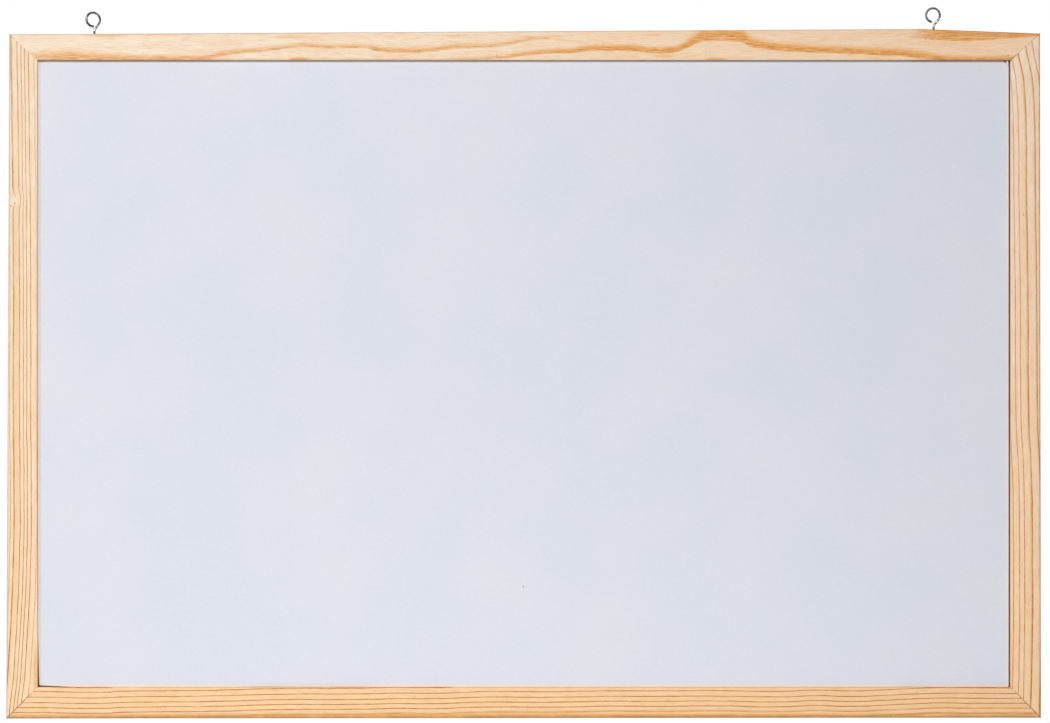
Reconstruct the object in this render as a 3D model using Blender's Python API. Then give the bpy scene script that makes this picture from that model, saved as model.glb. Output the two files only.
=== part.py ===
# Magnetic whiteboard: a white steel sheet on a hardboard back, held in the grooves of four
# mitred pine rails, with two screw eyes in the top rail to hang it by.
# Metres. The front faces -Y, the wall is at Y = 0, +Z is up.
# The origin is on the top rail's back face, above the middle of the writing area.

import math

import bmesh
import bpy
from mathutils import Matrix, Vector

# The sight opening inside the rails
SIGHT_WIDTH = 0.8475
SIGHT_HEIGHT = 0.5463
ORIGIN_ABOVE_SIGHT = 0.0125

# The rails were planed by hand after gluing, so each has its own width at each end
TOP_RAIL_LEFT = 0.0224
TOP_RAIL_CREST = 0.0271
TOP_RAIL_RIGHT = 0.0231
CREST_FROM_SIGHT_RIGHT = 0.0780
LEFT_RAIL_TOP = 0.0246
LEFT_RAIL_BOTTOM = 0.0272
RIGHT_RAIL_TOP = 0.0257
RIGHT_RAIL_BOTTOM = 0.0265
BOTTOM_RAIL_LEFT = 0.0273
BOTTOM_RAIL_RIGHT = 0.0266

# The rails' section
RAIL_DEPTH = 0.0150
FRONT_LIP = 0.0045
GROOVE_DEPTH = 0.0070
SIGHT_EASE = 0.0004
FRONT_ROUND = 0.0018
BACK_ROUND = 0.0008
ROUND_STEPS = 4
MITRE_GAP = 0.0003

# The panel in the grooves
HARDBOARD_THICKNESS = 0.0030
HARDBOARD_CORNER_CUT = 0.0030
PANEL_CLEARANCE = 0.0003
GROOVE_END_CLEARANCE = 0.0005

# The steel sheet glued on the hardboard, cut a little out of square.
# Each corner's distance from the sight opening, sideways and up or down.
SHEET_THICKNESS = 0.0004
GLUE_FILM = 0.0003
SHEET_INSET_TOP_LEFT = (0.0003, 0.0006)
SHEET_INSET_TOP_RIGHT = (0.0013, 0.0006)
SHEET_INSET_BOTTOM_RIGHT = (0.0013, 0.0005)
SHEET_INSET_BOTTOM_LEFT = (0.0006, 0.0008)
SHEET_CORNER_ROUND = 0.0010
DOG_EAR_WIDTH = 0.0040
DOG_EAR_HEIGHT = 0.0045
DOG_EAR_BEND = math.radians(38)

# Sharp steel wedges driven into each mitre from the back
WEDGES_PER_CORNER = 2
WEDGE_WING = 0.0045
WEDGE_THICKNESS = 0.0006
WEDGE_EDGE = 0.0002
WEDGE_LENGTH = 0.0100
WEDGE_SUNK = 0.0005
WEDGE_CLEARANCE = 0.0003
FIRST_WEDGE_FROM_SIGHT = 0.0130
WEDGE_SPACING = 0.0065

# The screw eyes, of bent wire with a wood thread
WIRE_RADIUS = 0.00095
LOOP_RADIUS = 0.0060
LOOP_OFFSET = -0.0005
LOOP_HEIGHT = 0.0132
JOIN_ANGLE = math.radians(37)
STEM_BEND_RADIUS = 0.0050
END_CHAMFER = 0.0003
THREAD_LENGTH = 0.0080
THREAD_PITCH = 0.0011
THREAD_CORE_RADIUS = 0.00075
THREAD_RIDGE = 0.00035
POINT_LENGTH = 0.0025
BORE_CLEARANCE = 0.0003
WIRE_SIDES = 10
RINGS_PER_PITCH = 6
RINGS_PER_LOOP_STEP = math.radians(10)
BORE_SIDES = 20

LEFT_EYE = {
    "from_sight_edge": 0.0486,
    "sunk": 0.0,
    "turn": math.radians(24),
    "lean": math.radians(-2.5),
    "end_angle": math.radians(270),
}
RIGHT_EYE = {
    "from_sight_edge": 0.0661,
    "sunk": 0.0,
    "turn": math.radians(0),
    "lean": math.radians(0),
    "end_angle": math.radians(259),
}

# Sizes that follow from the ones above
sight_left = -SIGHT_WIDTH / 2
sight_right = SIGHT_WIDTH / 2
sight_top = -ORIGIN_ABOVE_SIGHT
sight_bottom = sight_top - SIGHT_HEIGHT
front_face = -RAIL_DEPTH
groove_front = front_face + FRONT_LIP
hardboard_front = groove_front + PANEL_CLEARANCE
hardboard_back = hardboard_front + HARDBOARD_THICKNESS
groove_back = hardboard_back + PANEL_CLEARANCE
sheet_back = hardboard_front - GLUE_FILM
sheet_front = sheet_back - SHEET_THICKNESS
mid_depth = front_face / 2

SIGHT = {
    "top_left": Vector((sight_left, sight_top)),
    "top_right": Vector((sight_right, sight_top)),
    "bottom_right": Vector((sight_right, sight_bottom)),
    "bottom_left": Vector((sight_left, sight_bottom)),
}
OUTER = {
    "top_left": SIGHT["top_left"] + Vector((-LEFT_RAIL_TOP, TOP_RAIL_LEFT)),
    "top_right": SIGHT["top_right"] + Vector((RIGHT_RAIL_TOP, TOP_RAIL_RIGHT)),
    "bottom_right": SIGHT["bottom_right"] + Vector((RIGHT_RAIL_BOTTOM, -BOTTOM_RAIL_RIGHT)),
    "bottom_left": SIGHT["bottom_left"] + Vector((-LEFT_RAIL_BOTTOM, -BOTTOM_RAIL_LEFT)),
}
crest_x = sight_right - CREST_FROM_SIGHT_RIGHT
crest_z = sight_top + TOP_RAIL_CREST


def clear_scene():
    for thing in list(bpy.data.objects):
        bpy.data.objects.remove(thing, do_unlink=True)


def material(name, colour, roughness, metallic=0.0):
    made = bpy.data.materials.new(name)
    made.use_nodes = True
    shader = made.node_tree.nodes["Principled BSDF"]
    shader.inputs["Base Color"].default_value = (*colour, 1.0)
    shader.inputs["Roughness"].default_value = roughness
    shader.inputs["Metallic"].default_value = metallic
    return made


def object_from(name, build, finish):
    build_normals = list(build.faces)
    bmesh.ops.recalc_face_normals(build, faces=build_normals)
    mesh = bpy.data.meshes.new(name)
    build.to_mesh(mesh)
    build.free()
    if finish:
        mesh.materials.append(finish)
    made = bpy.data.objects.new(name, mesh)
    bpy.context.collection.objects.link(made)
    return made


def skin_rings(build, rings):
    """Joins closed rings of vertices, one after another, with four-sided faces."""
    for ring, following in zip(rings, rings[1:]):
        count = len(ring)
        for here in range(count):
            ahead = (here + 1) % count
            build.faces.new((ring[here], ring[ahead], following[ahead], following[here]))


def make_cutter(cutter):
    cutter.hide_render = True
    cutter.display_type = "WIRE"
    return cutter


def cut(target, cutter):
    difference = target.modifiers.new(cutter.name, "BOOLEAN")
    difference.operation = "DIFFERENCE"
    difference.solver = "EXACT"
    difference.object = cutter


# The rails

def rail_section(width):
    """A rail's section as (distance out from the sight edge, depth), for one width."""
    section = [(0.0, front_face + SIGHT_EASE), (SIGHT_EASE, front_face)]
    for step in range(ROUND_STEPS + 1):
        angle = math.radians(90) * step / ROUND_STEPS
        out = width - FRONT_ROUND * (1 - math.sin(angle))
        section.append((out, front_face + FRONT_ROUND * (1 - math.cos(angle))))
    for step in range(ROUND_STEPS + 1):
        angle = math.radians(90) * step / ROUND_STEPS
        out = width - BACK_ROUND * (1 - math.cos(angle))
        section.append((out, -BACK_ROUND * (1 - math.sin(angle))))
    section.append((0.0, 0.0))
    section.append((0.0, groove_back))
    section.append((GROOVE_DEPTH, groove_back))
    section.append((GROOVE_DEPTH, groove_front))
    section.append((0.0, groove_front))
    return section


def section_ring(build, sight_point, outer_point, outward, shift):
    """Places a section on the line from a sight point to an outer point, moved along the rail."""
    across = outer_point - sight_point
    width = across.dot(outward)
    ring = []
    for out, depth in rail_section(width):
        place = sight_point + across * (out / width) + shift
        ring.append(build.verts.new((place.x, depth, place.y)))
    return ring


def make_rail(name, start, end, outward, crest, wood):
    """A grooved rail between two mitres, with a crest in its outer edge where one is given."""
    along = (SIGHT[end] - SIGHT[start]).normalized()
    pull_back = along * (MITRE_GAP / math.sqrt(2))
    build = bmesh.new()
    rings = [section_ring(build, SIGHT[start], OUTER[start], outward, pull_back)]
    if crest:
        sight_point, outer_point = crest
        rings.append(section_ring(build, sight_point, outer_point, outward, Vector((0, 0))))
    rings.append(section_ring(build, SIGHT[end], OUTER[end], outward, -pull_back))
    skin_rings(build, rings)
    build.faces.new(rings[0])
    build.faces.new(rings[-1])
    return object_from(name, build, wood)


def make_rails():
    top_wood = material("top_rail_pine", (0.82, 0.56, 0.34), 0.5)
    bottom_wood = material("bottom_rail_pine", (0.83, 0.53, 0.29), 0.5)
    left_wood = material("left_rail_pine", (0.86, 0.63, 0.38), 0.5)
    right_wood = material("right_rail_pine", (0.78, 0.53, 0.33), 0.5)
    crest = (Vector((crest_x, sight_top)), Vector((crest_x, crest_z)))
    up, down = Vector((0, 1)), Vector((0, -1))
    left, right = Vector((-1, 0)), Vector((1, 0))
    return {
        "top": make_rail("top_rail", "top_left", "top_right", up, crest, top_wood),
        "bottom": make_rail("bottom_rail", "bottom_left", "bottom_right", down, None, bottom_wood),
        "left": make_rail("left_rail", "bottom_left", "top_left", left, None, left_wood),
        "right": make_rail("right_rail", "bottom_right", "top_right", right, None, right_wood),
    }


# The panel

def plate_faces(build, front_points, back_points):
    front = [build.verts.new(point) for point in front_points]
    back = [build.verts.new(point) for point in back_points]
    skin_rings(build, [front, back])
    return front, back


def make_hardboard():
    reach = GROOVE_DEPTH - GROOVE_END_CLEARANCE
    half_width = SIGHT_WIDTH / 2 + reach
    top, bottom = sight_top + reach, sight_bottom - reach
    outline = []
    for side, level, first in ((-1, top, "x"), (1, top, "z"), (1, bottom, "x"), (-1, bottom, "z")):
        inwards = -1 if level == top else 1
        near_x = (side * half_width, level + inwards * HARDBOARD_CORNER_CUT)
        near_z = (side * (half_width - HARDBOARD_CORNER_CUT), level)
        outline += [near_x, near_z] if first == "x" else [near_z, near_x]
    build = bmesh.new()
    front, back = plate_faces(
        build,
        [(x, hardboard_front, z) for x, z in outline],
        [(x, hardboard_back, z) for x, z in outline],
    )
    build.faces.new(front)
    build.faces.new(back)
    return object_from("hardboard_back", build, material("hardboard", (0.15, 0.075, 0.04), 0.8))


def rounded_corner(corner, inset, steps=3):
    """Points of a sheet corner rounded off, running clockwise as seen from the front."""
    toward_x = -1 if "right" in corner else 1
    toward_z = -1 if "top" in corner else 1
    tip = SIGHT[corner] + Vector((toward_x * inset[0], toward_z * inset[1]))
    centre = tip + Vector((toward_x, toward_z)) * SHEET_CORNER_ROUND
    points = []
    for step in range(steps + 1):
        angle = math.radians(90) * step / steps
        arm = Vector((-toward_x * math.cos(angle), -toward_z * math.sin(angle)))
        points.append(centre + arm * SHEET_CORNER_ROUND)
    return points if corner in ("top_left", "bottom_right") else points[::-1]


def make_sheet():
    """The steel sheet, its top right corner bent forward along a crease."""
    inset_x, inset_z = SHEET_INSET_TOP_RIGHT
    tip = SIGHT["top_right"] - Vector((inset_x, inset_z))
    crease_top = tip - Vector((DOG_EAR_WIDTH, 0))
    crease_side = tip - Vector((0, DOG_EAR_HEIGHT))
    flat = rounded_corner("top_left", SHEET_INSET_TOP_LEFT)
    flat += [crease_top, crease_side]
    flat += rounded_corner("bottom_right", SHEET_INSET_BOTTOM_RIGHT)
    flat += rounded_corner("bottom_left", SHEET_INSET_BOTTOM_LEFT)
    crease_at = flat.index(crease_top)

    crease = (crease_side - crease_top).normalized()
    foot = crease_top + crease * (tip - crease_top).dot(crease)
    ear = tip - foot
    bent = foot + ear * math.cos(DOG_EAR_BEND)
    lift = ear.length * math.sin(DOG_EAR_BEND)
    lean_back = ear.normalized() * SHEET_THICKNESS * math.sin(DOG_EAR_BEND)
    back_lift = lift + SHEET_THICKNESS * (1 - math.cos(DOG_EAR_BEND))

    outline = flat[: crease_at + 1] + [bent] + flat[crease_at + 1 :]
    front_points = [(point.x, sheet_front, point.y) for point in outline]
    back_points = [(point.x, sheet_back, point.y) for point in outline]
    tip_at = crease_at + 1
    front_points[tip_at] = (bent.x, sheet_front - lift, bent.y)
    back_tip = bent + lean_back
    back_points[tip_at] = (back_tip.x, sheet_back - back_lift, back_tip.y)

    build = bmesh.new()
    front, back = plate_faces(build, front_points, back_points)
    for side in (front, back):
        build.faces.new(side[crease_at : tip_at + 2])
        build.faces.new(side[:tip_at] + side[tip_at + 1 :])
    return object_from("writing_sheet", build, material("white_lacquer", (0.73, 0.76, 0.83), 0.25))


# The corner wedges

def chevron(apex, arms, half_thickness, extra):
    """The outline of a wedge seen from the back: two wings that meet at the apex."""
    first, second = arms
    reach = WEDGE_WING + extra
    inner = apex + (first + second) * half_thickness
    outer = apex - (first + second) * half_thickness
    return [
        outer,
        apex + first * reach - second * half_thickness,
        apex + first * reach + second * half_thickness,
        inner,
        apex + second * reach + first * half_thickness,
        apex + second * reach - first * half_thickness,
    ]


def chevron_solid(name, apex, arms, levels, extra, finish):
    """A solid through chevrons at several depths, each level being (depth, half thickness)."""
    build = bmesh.new()
    rings = []
    for depth, half_thickness in levels:
        points = chevron(apex, arms, half_thickness, extra)
        rings.append([build.verts.new((point.x, depth, point.y)) for point in points])
    skin_rings(build, rings)
    build.faces.new(rings[0])
    build.faces.new(rings[-1])
    return object_from(name, build, finish)


def make_wedges(rails):
    steel = material("wedge_steel", (0.30, 0.31, 0.32), 0.45, 1.0)
    half = WEDGE_THICKNESS / 2
    sharp = WEDGE_EDGE / 2
    tip = -(WEDGE_SUNK + WEDGE_LENGTH)
    shoulder = tip + WEDGE_THICKNESS * 2
    for corner in SIGHT:
        across = OUTER[corner] - SIGHT[corner]
        inwards = (Vector((-math.copysign(1, across.x), 0)), Vector((0, -math.copysign(1, across.y))))
        for number in range(WEDGES_PER_CORNER):
            from_sight = FIRST_WEDGE_FROM_SIGHT + number * WEDGE_SPACING
            apex = SIGHT[corner] + across * (from_sight / abs(across.y))
            name = f"corner_wedge_{corner}_{number + 1}"
            levels = [(tip, sharp), (shoulder, half), (-WEDGE_SUNK, half)]
            chevron_solid(name, apex, inwards, levels, 0.0, steel)
            room = half + WEDGE_CLEARANCE
            pocket_levels = [(tip - WEDGE_CLEARANCE, room), (WEDGE_THICKNESS, room)]
            pocket = chevron_solid(
                name + "_pocket", apex, inwards, pocket_levels, WEDGE_CLEARANCE, None
            )
            make_cutter(pocket)
            level, side = corner.split("_")
            cut(rails[level], pocket)
            cut(rails[side], pocket)


# The screw eyes

def stem_bend_start():
    """The height at which the stem leaves its own axis, and the point where it meets the loop."""
    join = Vector((
        LOOP_OFFSET + LOOP_RADIUS * math.cos(JOIN_ANGLE),
        LOOP_HEIGHT - LOOP_RADIUS * math.sin(JOIN_ANGLE),
    ))
    meeting = join.y - join.x / math.tan(JOIN_ANGLE)
    return meeting - STEM_BEND_RADIUS * math.tan(JOIN_ANGLE / 2), join


def eye_stations(end_angle):
    """Where the wire's rings lie: (point, direction, core radius, ridge height) in the eye's plane."""
    up = Vector((0, 1))
    stations = []
    bottom = -(THREAD_LENGTH + POINT_LENGTH)
    thread_steps = round((THREAD_LENGTH + POINT_LENGTH) / THREAD_PITCH * RINGS_PER_PITCH)
    for step in range(1, thread_steps + 1):
        height = bottom * (1 - step / thread_steps)
        full = min(1.0, (height - bottom) / POINT_LENGTH)
        fade = min(1.0, -height / THREAD_PITCH)
        core = THREAD_CORE_RADIUS + (WIRE_RADIUS - THREAD_CORE_RADIUS) * (1 - fade)
        stations.append((Vector((0, height)), up, core * full, THREAD_RIDGE * full * fade))
    bend_start, join = stem_bend_start()
    bend_centre = Vector((STEM_BEND_RADIUS, bend_start))
    bend_steps = 4
    for step in range(bend_steps + 1):
        angle = JOIN_ANGLE * step / bend_steps
        arm = Vector((-math.cos(angle), math.sin(angle))) * STEM_BEND_RADIUS
        direction = Vector((math.sin(angle), math.cos(angle)))
        stations.append((bend_centre + arm, direction, WIRE_RADIUS, 0.0))
    loop_centre = Vector((LOOP_OFFSET, LOOP_HEIGHT))
    loop_turn = end_angle + JOIN_ANGLE
    loop_steps = round(loop_turn / RINGS_PER_LOOP_STEP)
    for step in range(loop_steps + 1):
        angle = -JOIN_ANGLE + loop_turn * step / loop_steps
        arm = Vector((math.cos(angle), math.sin(angle)))
        direction = Vector((-math.sin(angle), math.cos(angle)))
        stations.append((loop_centre + arm * LOOP_RADIUS, direction, WIRE_RADIUS, 0.0))
    last_point, last_direction = stations[-1][0], stations[-1][1]
    end_point = last_point + last_direction * END_CHAMFER
    stations.append((end_point, last_direction, WIRE_RADIUS - END_CHAMFER, 0.0))
    return stations


def make_eye(name, eye, steel):
    build = bmesh.new()
    point = build.verts.new((0, 0, -(THREAD_LENGTH + POINT_LENGTH)))
    rings = []
    for centre, direction, core, ridge in eye_stations(eye["end_angle"]):
        sideways = Vector((direction.y, 0, -direction.x))
        middle = Vector((centre.x, 0, centre.y))
        ring = []
        for side in range(WIRE_SIDES):
            around = side / WIRE_SIDES
            angle = around * math.tau
            along_thread = (around - centre.y / THREAD_PITCH) % 1.0
            radius = core + ridge * (1 - abs(2 * along_thread - 1))
            arm = sideways * math.cos(angle) + Vector((0, 1, 0)) * math.sin(angle)
            ring.append(build.verts.new(middle + arm * radius))
        rings.append(ring)
    skin_rings(build, rings)
    for side in range(WIRE_SIDES):
        build.faces.new((point, rings[0][side], rings[0][(side + 1) % WIRE_SIDES]))
    build.faces.new(rings[-1])
    made = object_from(name, build, steel)
    made.data.shade_smooth()
    made.data.set_sharp_from_angle(angle=math.radians(40))
    return made


def make_bore(name, sunk):
    """A cutter for the hole that an eye's thread sits in."""
    radius = THREAD_CORE_RADIUS + THREAD_RIDGE + BORE_CLEARANCE
    radius = max(radius, WIRE_RADIUS + BORE_CLEARANCE) / math.cos(math.pi / BORE_SIDES)
    bottom = -(sunk + THREAD_LENGTH + POINT_LENGTH + BORE_CLEARANCE)
    top = THREAD_PITCH
    build = bmesh.new()
    bmesh.ops.create_cone(
        build,
        cap_ends=True,
        segments=BORE_SIDES,
        radius1=radius,
        radius2=radius,
        depth=top - bottom,
        matrix=Matrix.Translation((0, 0, (top + bottom) / 2)),
    )
    return make_cutter(object_from(name, build, None))


def top_edge_height(x):
    """The height of the top rail's outer edge at a place along it."""
    corner = OUTER["top_left"] if x < crest_x else OUTER["top_right"]
    share = (x - corner.x) / (crest_x - corner.x)
    return corner.y + (crest_z - corner.y) * share


def place_eye(side, x, eye, top_rail, steel):
    foot = bpy.data.objects.new(f"{side}_pilot_hole_axis", None)
    bpy.context.collection.objects.link(foot)
    foot.location = (x, mid_depth, top_edge_height(x))
    foot.rotation_euler = (0, eye["lean"], 0)
    made = make_eye(f"screw_eye_{side}", eye, steel)
    made.parent = foot
    made.location = (0, 0, -eye["sunk"])
    made.rotation_euler = (0, 0, eye["turn"])
    bore = make_bore(f"{side}_pilot_hole", eye["sunk"])
    bore.parent = foot
    cut(top_rail, bore)


def make_eyes(rails):
    steel = material("zinc_plated_wire", (0.42, 0.43, 0.44), 0.35, 1.0)
    left_x = sight_left + LEFT_EYE["from_sight_edge"]
    right_x = sight_right - RIGHT_EYE["from_sight_edge"]
    place_eye("left", left_x, LEFT_EYE, rails["top"], steel)
    place_eye("right", right_x, RIGHT_EYE, rails["top"], steel)


clear_scene()
all_rails = make_rails()
make_hardboard()
make_sheet()
make_wedges(all_rails)
make_eyes(all_rails)
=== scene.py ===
import math

import bmesh
import bpy
from mathutils import Matrix, Vector


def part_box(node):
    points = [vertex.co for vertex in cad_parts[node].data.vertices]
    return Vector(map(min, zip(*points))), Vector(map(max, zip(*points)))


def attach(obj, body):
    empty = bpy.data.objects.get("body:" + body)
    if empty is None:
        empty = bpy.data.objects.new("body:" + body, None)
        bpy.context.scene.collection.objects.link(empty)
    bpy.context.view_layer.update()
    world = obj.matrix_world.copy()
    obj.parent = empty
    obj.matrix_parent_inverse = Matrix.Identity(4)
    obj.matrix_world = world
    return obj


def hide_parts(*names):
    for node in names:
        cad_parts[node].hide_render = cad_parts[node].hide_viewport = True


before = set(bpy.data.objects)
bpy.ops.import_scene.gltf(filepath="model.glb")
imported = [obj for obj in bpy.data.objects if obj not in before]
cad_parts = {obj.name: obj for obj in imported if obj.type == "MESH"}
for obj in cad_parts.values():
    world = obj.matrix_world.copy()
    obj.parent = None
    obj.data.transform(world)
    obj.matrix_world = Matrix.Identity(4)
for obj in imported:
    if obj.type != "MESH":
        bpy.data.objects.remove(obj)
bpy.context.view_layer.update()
print("frame loaded")

mm = 0.001
weldDistance = 0.002 * mm      # corners nearer than this are joined

# what the solids give: the sight opening inside the rails and the frame's four outer corners
solidMitreGap = 0.3 * mm
mitreShift = solidMitreGap / math.sqrt(2)
topLow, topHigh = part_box("top_rail")
bottomLow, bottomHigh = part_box("bottom_rail")
leftLow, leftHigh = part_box("left_rail")
rightLow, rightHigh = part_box("right_rail")

sightLeft, sightRight = leftHigh.x, rightLow.x
sightTop, sightBottom = topLow.z, bottomHigh.z
frontFace, backFace = topLow.y, topHigh.y
crestTop = topHigh.z

sightCorner = {
    "topLeft": Vector((sightLeft, 0, sightTop)),
    "topRight": Vector((sightRight, 0, sightTop)),
    "bottomRight": Vector((sightRight, 0, sightBottom)),
    "bottomLeft": Vector((sightLeft, 0, sightBottom)),
}
outerCorner = {
    "topLeft": Vector((topLow.x - mitreShift, 0, leftHigh.z + mitreShift)),
    "topRight": Vector((topHigh.x + mitreShift, 0, rightHigh.z + mitreShift)),
    "bottomRight": Vector((bottomHigh.x + mitreShift, 0, rightLow.z - mitreShift)),
    "bottomLeft": Vector((bottomLow.x - mitreShift, 0, leftLow.z - mitreShift)),
}


# small helpers for node trees

def addNode(tree, kind, **settings):
    node = tree.nodes.new(kind)
    for name, value in settings.items():
        setattr(node, name, value)
    return node


def feed(tree, socket, value):
    if value is None:
        return
    if isinstance(value, bpy.types.NodeSocket):
        tree.links.new(value, socket)
    else:
        socket.default_value = value


def calc(tree, operation, first, second=None, third=None, clamp=False):
    node = addNode(tree, "ShaderNodeMath", operation=operation, use_clamp=clamp)
    for socket, value in zip(node.inputs, (first, second, third)):
        feed(tree, socket, value)
    return node.outputs[0]


def vectorCalc(tree, operation, first, second=None, third=None, scale=None):
    node = addNode(tree, "ShaderNodeVectorMath", operation=operation)
    for socket, value in zip(node.inputs, (first, second, third)):
        feed(tree, socket, value)
    if scale is not None:
        feed(tree, node.inputs["Scale"], scale)
    return node.outputs["Value"] if operation in ("DOT_PRODUCT", "LENGTH") else node.outputs["Vector"]


def remap(tree, value, low, high, toLow=0.0, toHigh=1.0, smooth=False):
    node = addNode(tree, "ShaderNodeMapRange", interpolation_type="SMOOTHSTEP" if smooth else "LINEAR")
    for index, given in enumerate((value, low, high, toLow, toHigh)):
        feed(tree, node.inputs[index], given)
    return node.outputs[0]


def mixNumber(tree, share, first, second):
    node = addNode(tree, "ShaderNodeMix", data_type="FLOAT")
    for index, value in ((0, share), (2, first), (3, second)):
        feed(tree, node.inputs[index], value)
    return node.outputs[0]


def mixColour(tree, share, first, second, blend="MIX"):
    node = addNode(tree, "ShaderNodeMix", data_type="RGBA", blend_type=blend)
    for index, value in ((0, share), (6, first), (7, second)):
        feed(tree, node.inputs[index], value)
    return node.outputs[2]


def combine(tree, x, y, z):
    node = addNode(tree, "ShaderNodeCombineXYZ")
    for socket, value in zip(node.inputs, (x, y, z)):
        feed(tree, socket, value)
    return node.outputs[0]


def noise(tree, place, scale=1.0, detail=2.0, roughness=0.5):
    node = addNode(tree, "ShaderNodeTexNoise")
    for name, value in (("Vector", place), ("Scale", scale), ("Detail", detail), ("Roughness", roughness)):
        feed(tree, node.inputs[name], value)
    return node.outputs[0]


def drawnCurve(tree, value, points, low, high):
    # a curve drawn through (place, amount) points, amounts from low to high, places in their own unit
    start, end = points[0][0], points[-1][0]
    node = addNode(tree, "ShaderNodeFloatCurve")
    line = node.mapping.curves[0]
    scaled = [((place - start) / (end - start), (amount - low) / (high - low)) for place, amount in points]
    while len(line.points) < len(scaled):
        line.points.new(0.5, 0.5)
    for knot, (x, y) in zip(line.points, scaled):
        knot.location = (x, y)
        knot.handle_type = "AUTO_CLAMPED"
    node.mapping.update()
    feed(tree, node.inputs["Value"], remap(tree, value, start, end))
    return remap(tree, node.outputs[0], 0.0, 1.0, low, high)


def newGroup(name, kind, inputs, outputs):
    # inputs and outputs are (name, socket kind, default) and (name, socket kind)
    tree = bpy.data.node_groups.new(name, kind)
    for label, socketKind, value in inputs:
        socket = tree.interface.new_socket(label, in_out="INPUT", socket_type="NodeSocket" + socketKind)
        if value is not None:
            socket.default_value = value
    for label, socketKind in outputs:
        tree.interface.new_socket(label, in_out="OUTPUT", socket_type="NodeSocket" + socketKind)
    start = addNode(tree, "NodeGroupInput")
    end = addNode(tree, "NodeGroupOutput")
    return tree, start.outputs, end.inputs


def useGroup(tree, group, **values):
    # values are named as the group's inputs without their spaces
    node = addNode(tree, "ShaderNodeGroup", node_tree=group)
    for socket in node.inputs:
        key = socket.name.replace(" ", "")
        key = key[0].lower() + key[1:]
        feed(tree, socket, values.get(key))
    return node.outputs


def newMaterial(name):
    made = bpy.data.materials.new(name)
    made.use_nodes = True
    tree = made.node_tree
    tree.nodes.clear()
    shader = addNode(tree, "ShaderNodeBsdfPrincipled")
    output = addNode(tree, "ShaderNodeOutputMaterial")
    tree.links.new(shader.outputs[0], output.inputs[0])
    return made, tree, shader


def objectPoint(tree):
    return addNode(tree, "ShaderNodeTexCoord").outputs["Object"]


def faceDistance(tree, point, x, z):
    # how far a point is, seen from the front, from a place given sideways and up in millimetres
    away = vectorCalc(tree, "SUBTRACT", point, (x * mm, 0.0, z * mm))
    away = vectorCalc(tree, "MULTIPLY", away, (1.0, 0.0, 1.0))
    return vectorCalc(tree, "LENGTH", away)


def shaded(tree, colour, grey):
    # the colour made lighter or darker by a number
    return mixColour(tree, 1.0, colour, combine(tree, grey, grey, grey), "MULTIPLY")


def addBump(tree, shader, height, distance, strength=1.0):
    bump = addNode(tree, "ShaderNodeBump")
    bump.inputs["Distance"].default_value = distance
    bump.inputs["Strength"].default_value = strength
    feed(tree, bump.inputs["Height"], height)
    feed(tree, shader.inputs["Normal"], bump.outputs[0])


# shader node groups that several finishes share

def makeRailPlaceGroup():
    # where a point lies on a rail: along it, out from the sight edge and in from the front, in millimetres
    tree, given, out = newGroup(
        "railPlace", "ShaderNodeTree",
        [("Point", "Vector", None), ("Sight Point", "Vector", None), ("Along", "Vector", None),
         ("Outward", "Vector", None), ("Front", "Float", 0.0)],
        [("Along", "Float"), ("Across", "Float"), ("Depth", "Float")],
    )
    toMillimetres = 1 / mm
    along = vectorCalc(tree, "DOT_PRODUCT", given["Point"], given["Along"])
    fromSight = vectorCalc(tree, "SUBTRACT", given["Point"], given["Sight Point"])
    across = vectorCalc(tree, "DOT_PRODUCT", fromSight, given["Outward"])
    split = addNode(tree, "ShaderNodeSeparateXYZ")
    feed(tree, split.inputs[0], given["Point"])
    depth = calc(tree, "SUBTRACT", split.outputs["Y"], given["Front"])
    feed(tree, out["Along"], calc(tree, "MULTIPLY", along, toMillimetres))
    feed(tree, out["Across"], calc(tree, "MULTIPLY", across, toMillimetres))
    feed(tree, out["Depth"], calc(tree, "MULTIPLY", depth, toMillimetres))
    return tree


def makeLineDistanceGroup():
    # distance from a line drawn on the face through two points, and how far along it, 0 to 1
    tree, given, out = newGroup(
        "lineDistance", "ShaderNodeTree",
        [("Point", "Vector", None), ("Line Start", "Vector", None), ("Line End", "Vector", None)],
        [("Distance", "Float"), ("Share", "Float")],
    )
    flatten = (1.0, 0.0, 1.0)
    run = vectorCalc(tree, "SUBTRACT", given["Line End"], given["Line Start"])
    run = vectorCalc(tree, "MULTIPLY", run, flatten)
    away = vectorCalc(tree, "SUBTRACT", given["Point"], given["Line Start"])
    away = vectorCalc(tree, "MULTIPLY", away, flatten)
    lengthSquared = vectorCalc(tree, "DOT_PRODUCT", run, run)
    share = calc(tree, "DIVIDE", vectorCalc(tree, "DOT_PRODUCT", away, run), lengthSquared)
    foot = vectorCalc(tree, "SCALE", run, scale=share)
    distance = vectorCalc(tree, "LENGTH", vectorCalc(tree, "SUBTRACT", away, foot))
    feed(tree, out["Distance"], calc(tree, "MULTIPLY", distance, 1 / mm))
    feed(tree, out["Share"], share)
    return tree


lineLook = {
    "slowBreaks": 0.045,       # how quickly a line fades in and out along the rail
    "fineBreaks": 0.42,
    "slowSeed": 3.0,
    "fineSeed": 9.0,
    "softFull": 0.15,          # where the soft side is full, as a share of its width
    "coreFull": 0.55,          # where the dark core is full, as a share of its width
    "bandFull": 0.7,           # a band is full this far on the way from its lower limit to its peak
}


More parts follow.
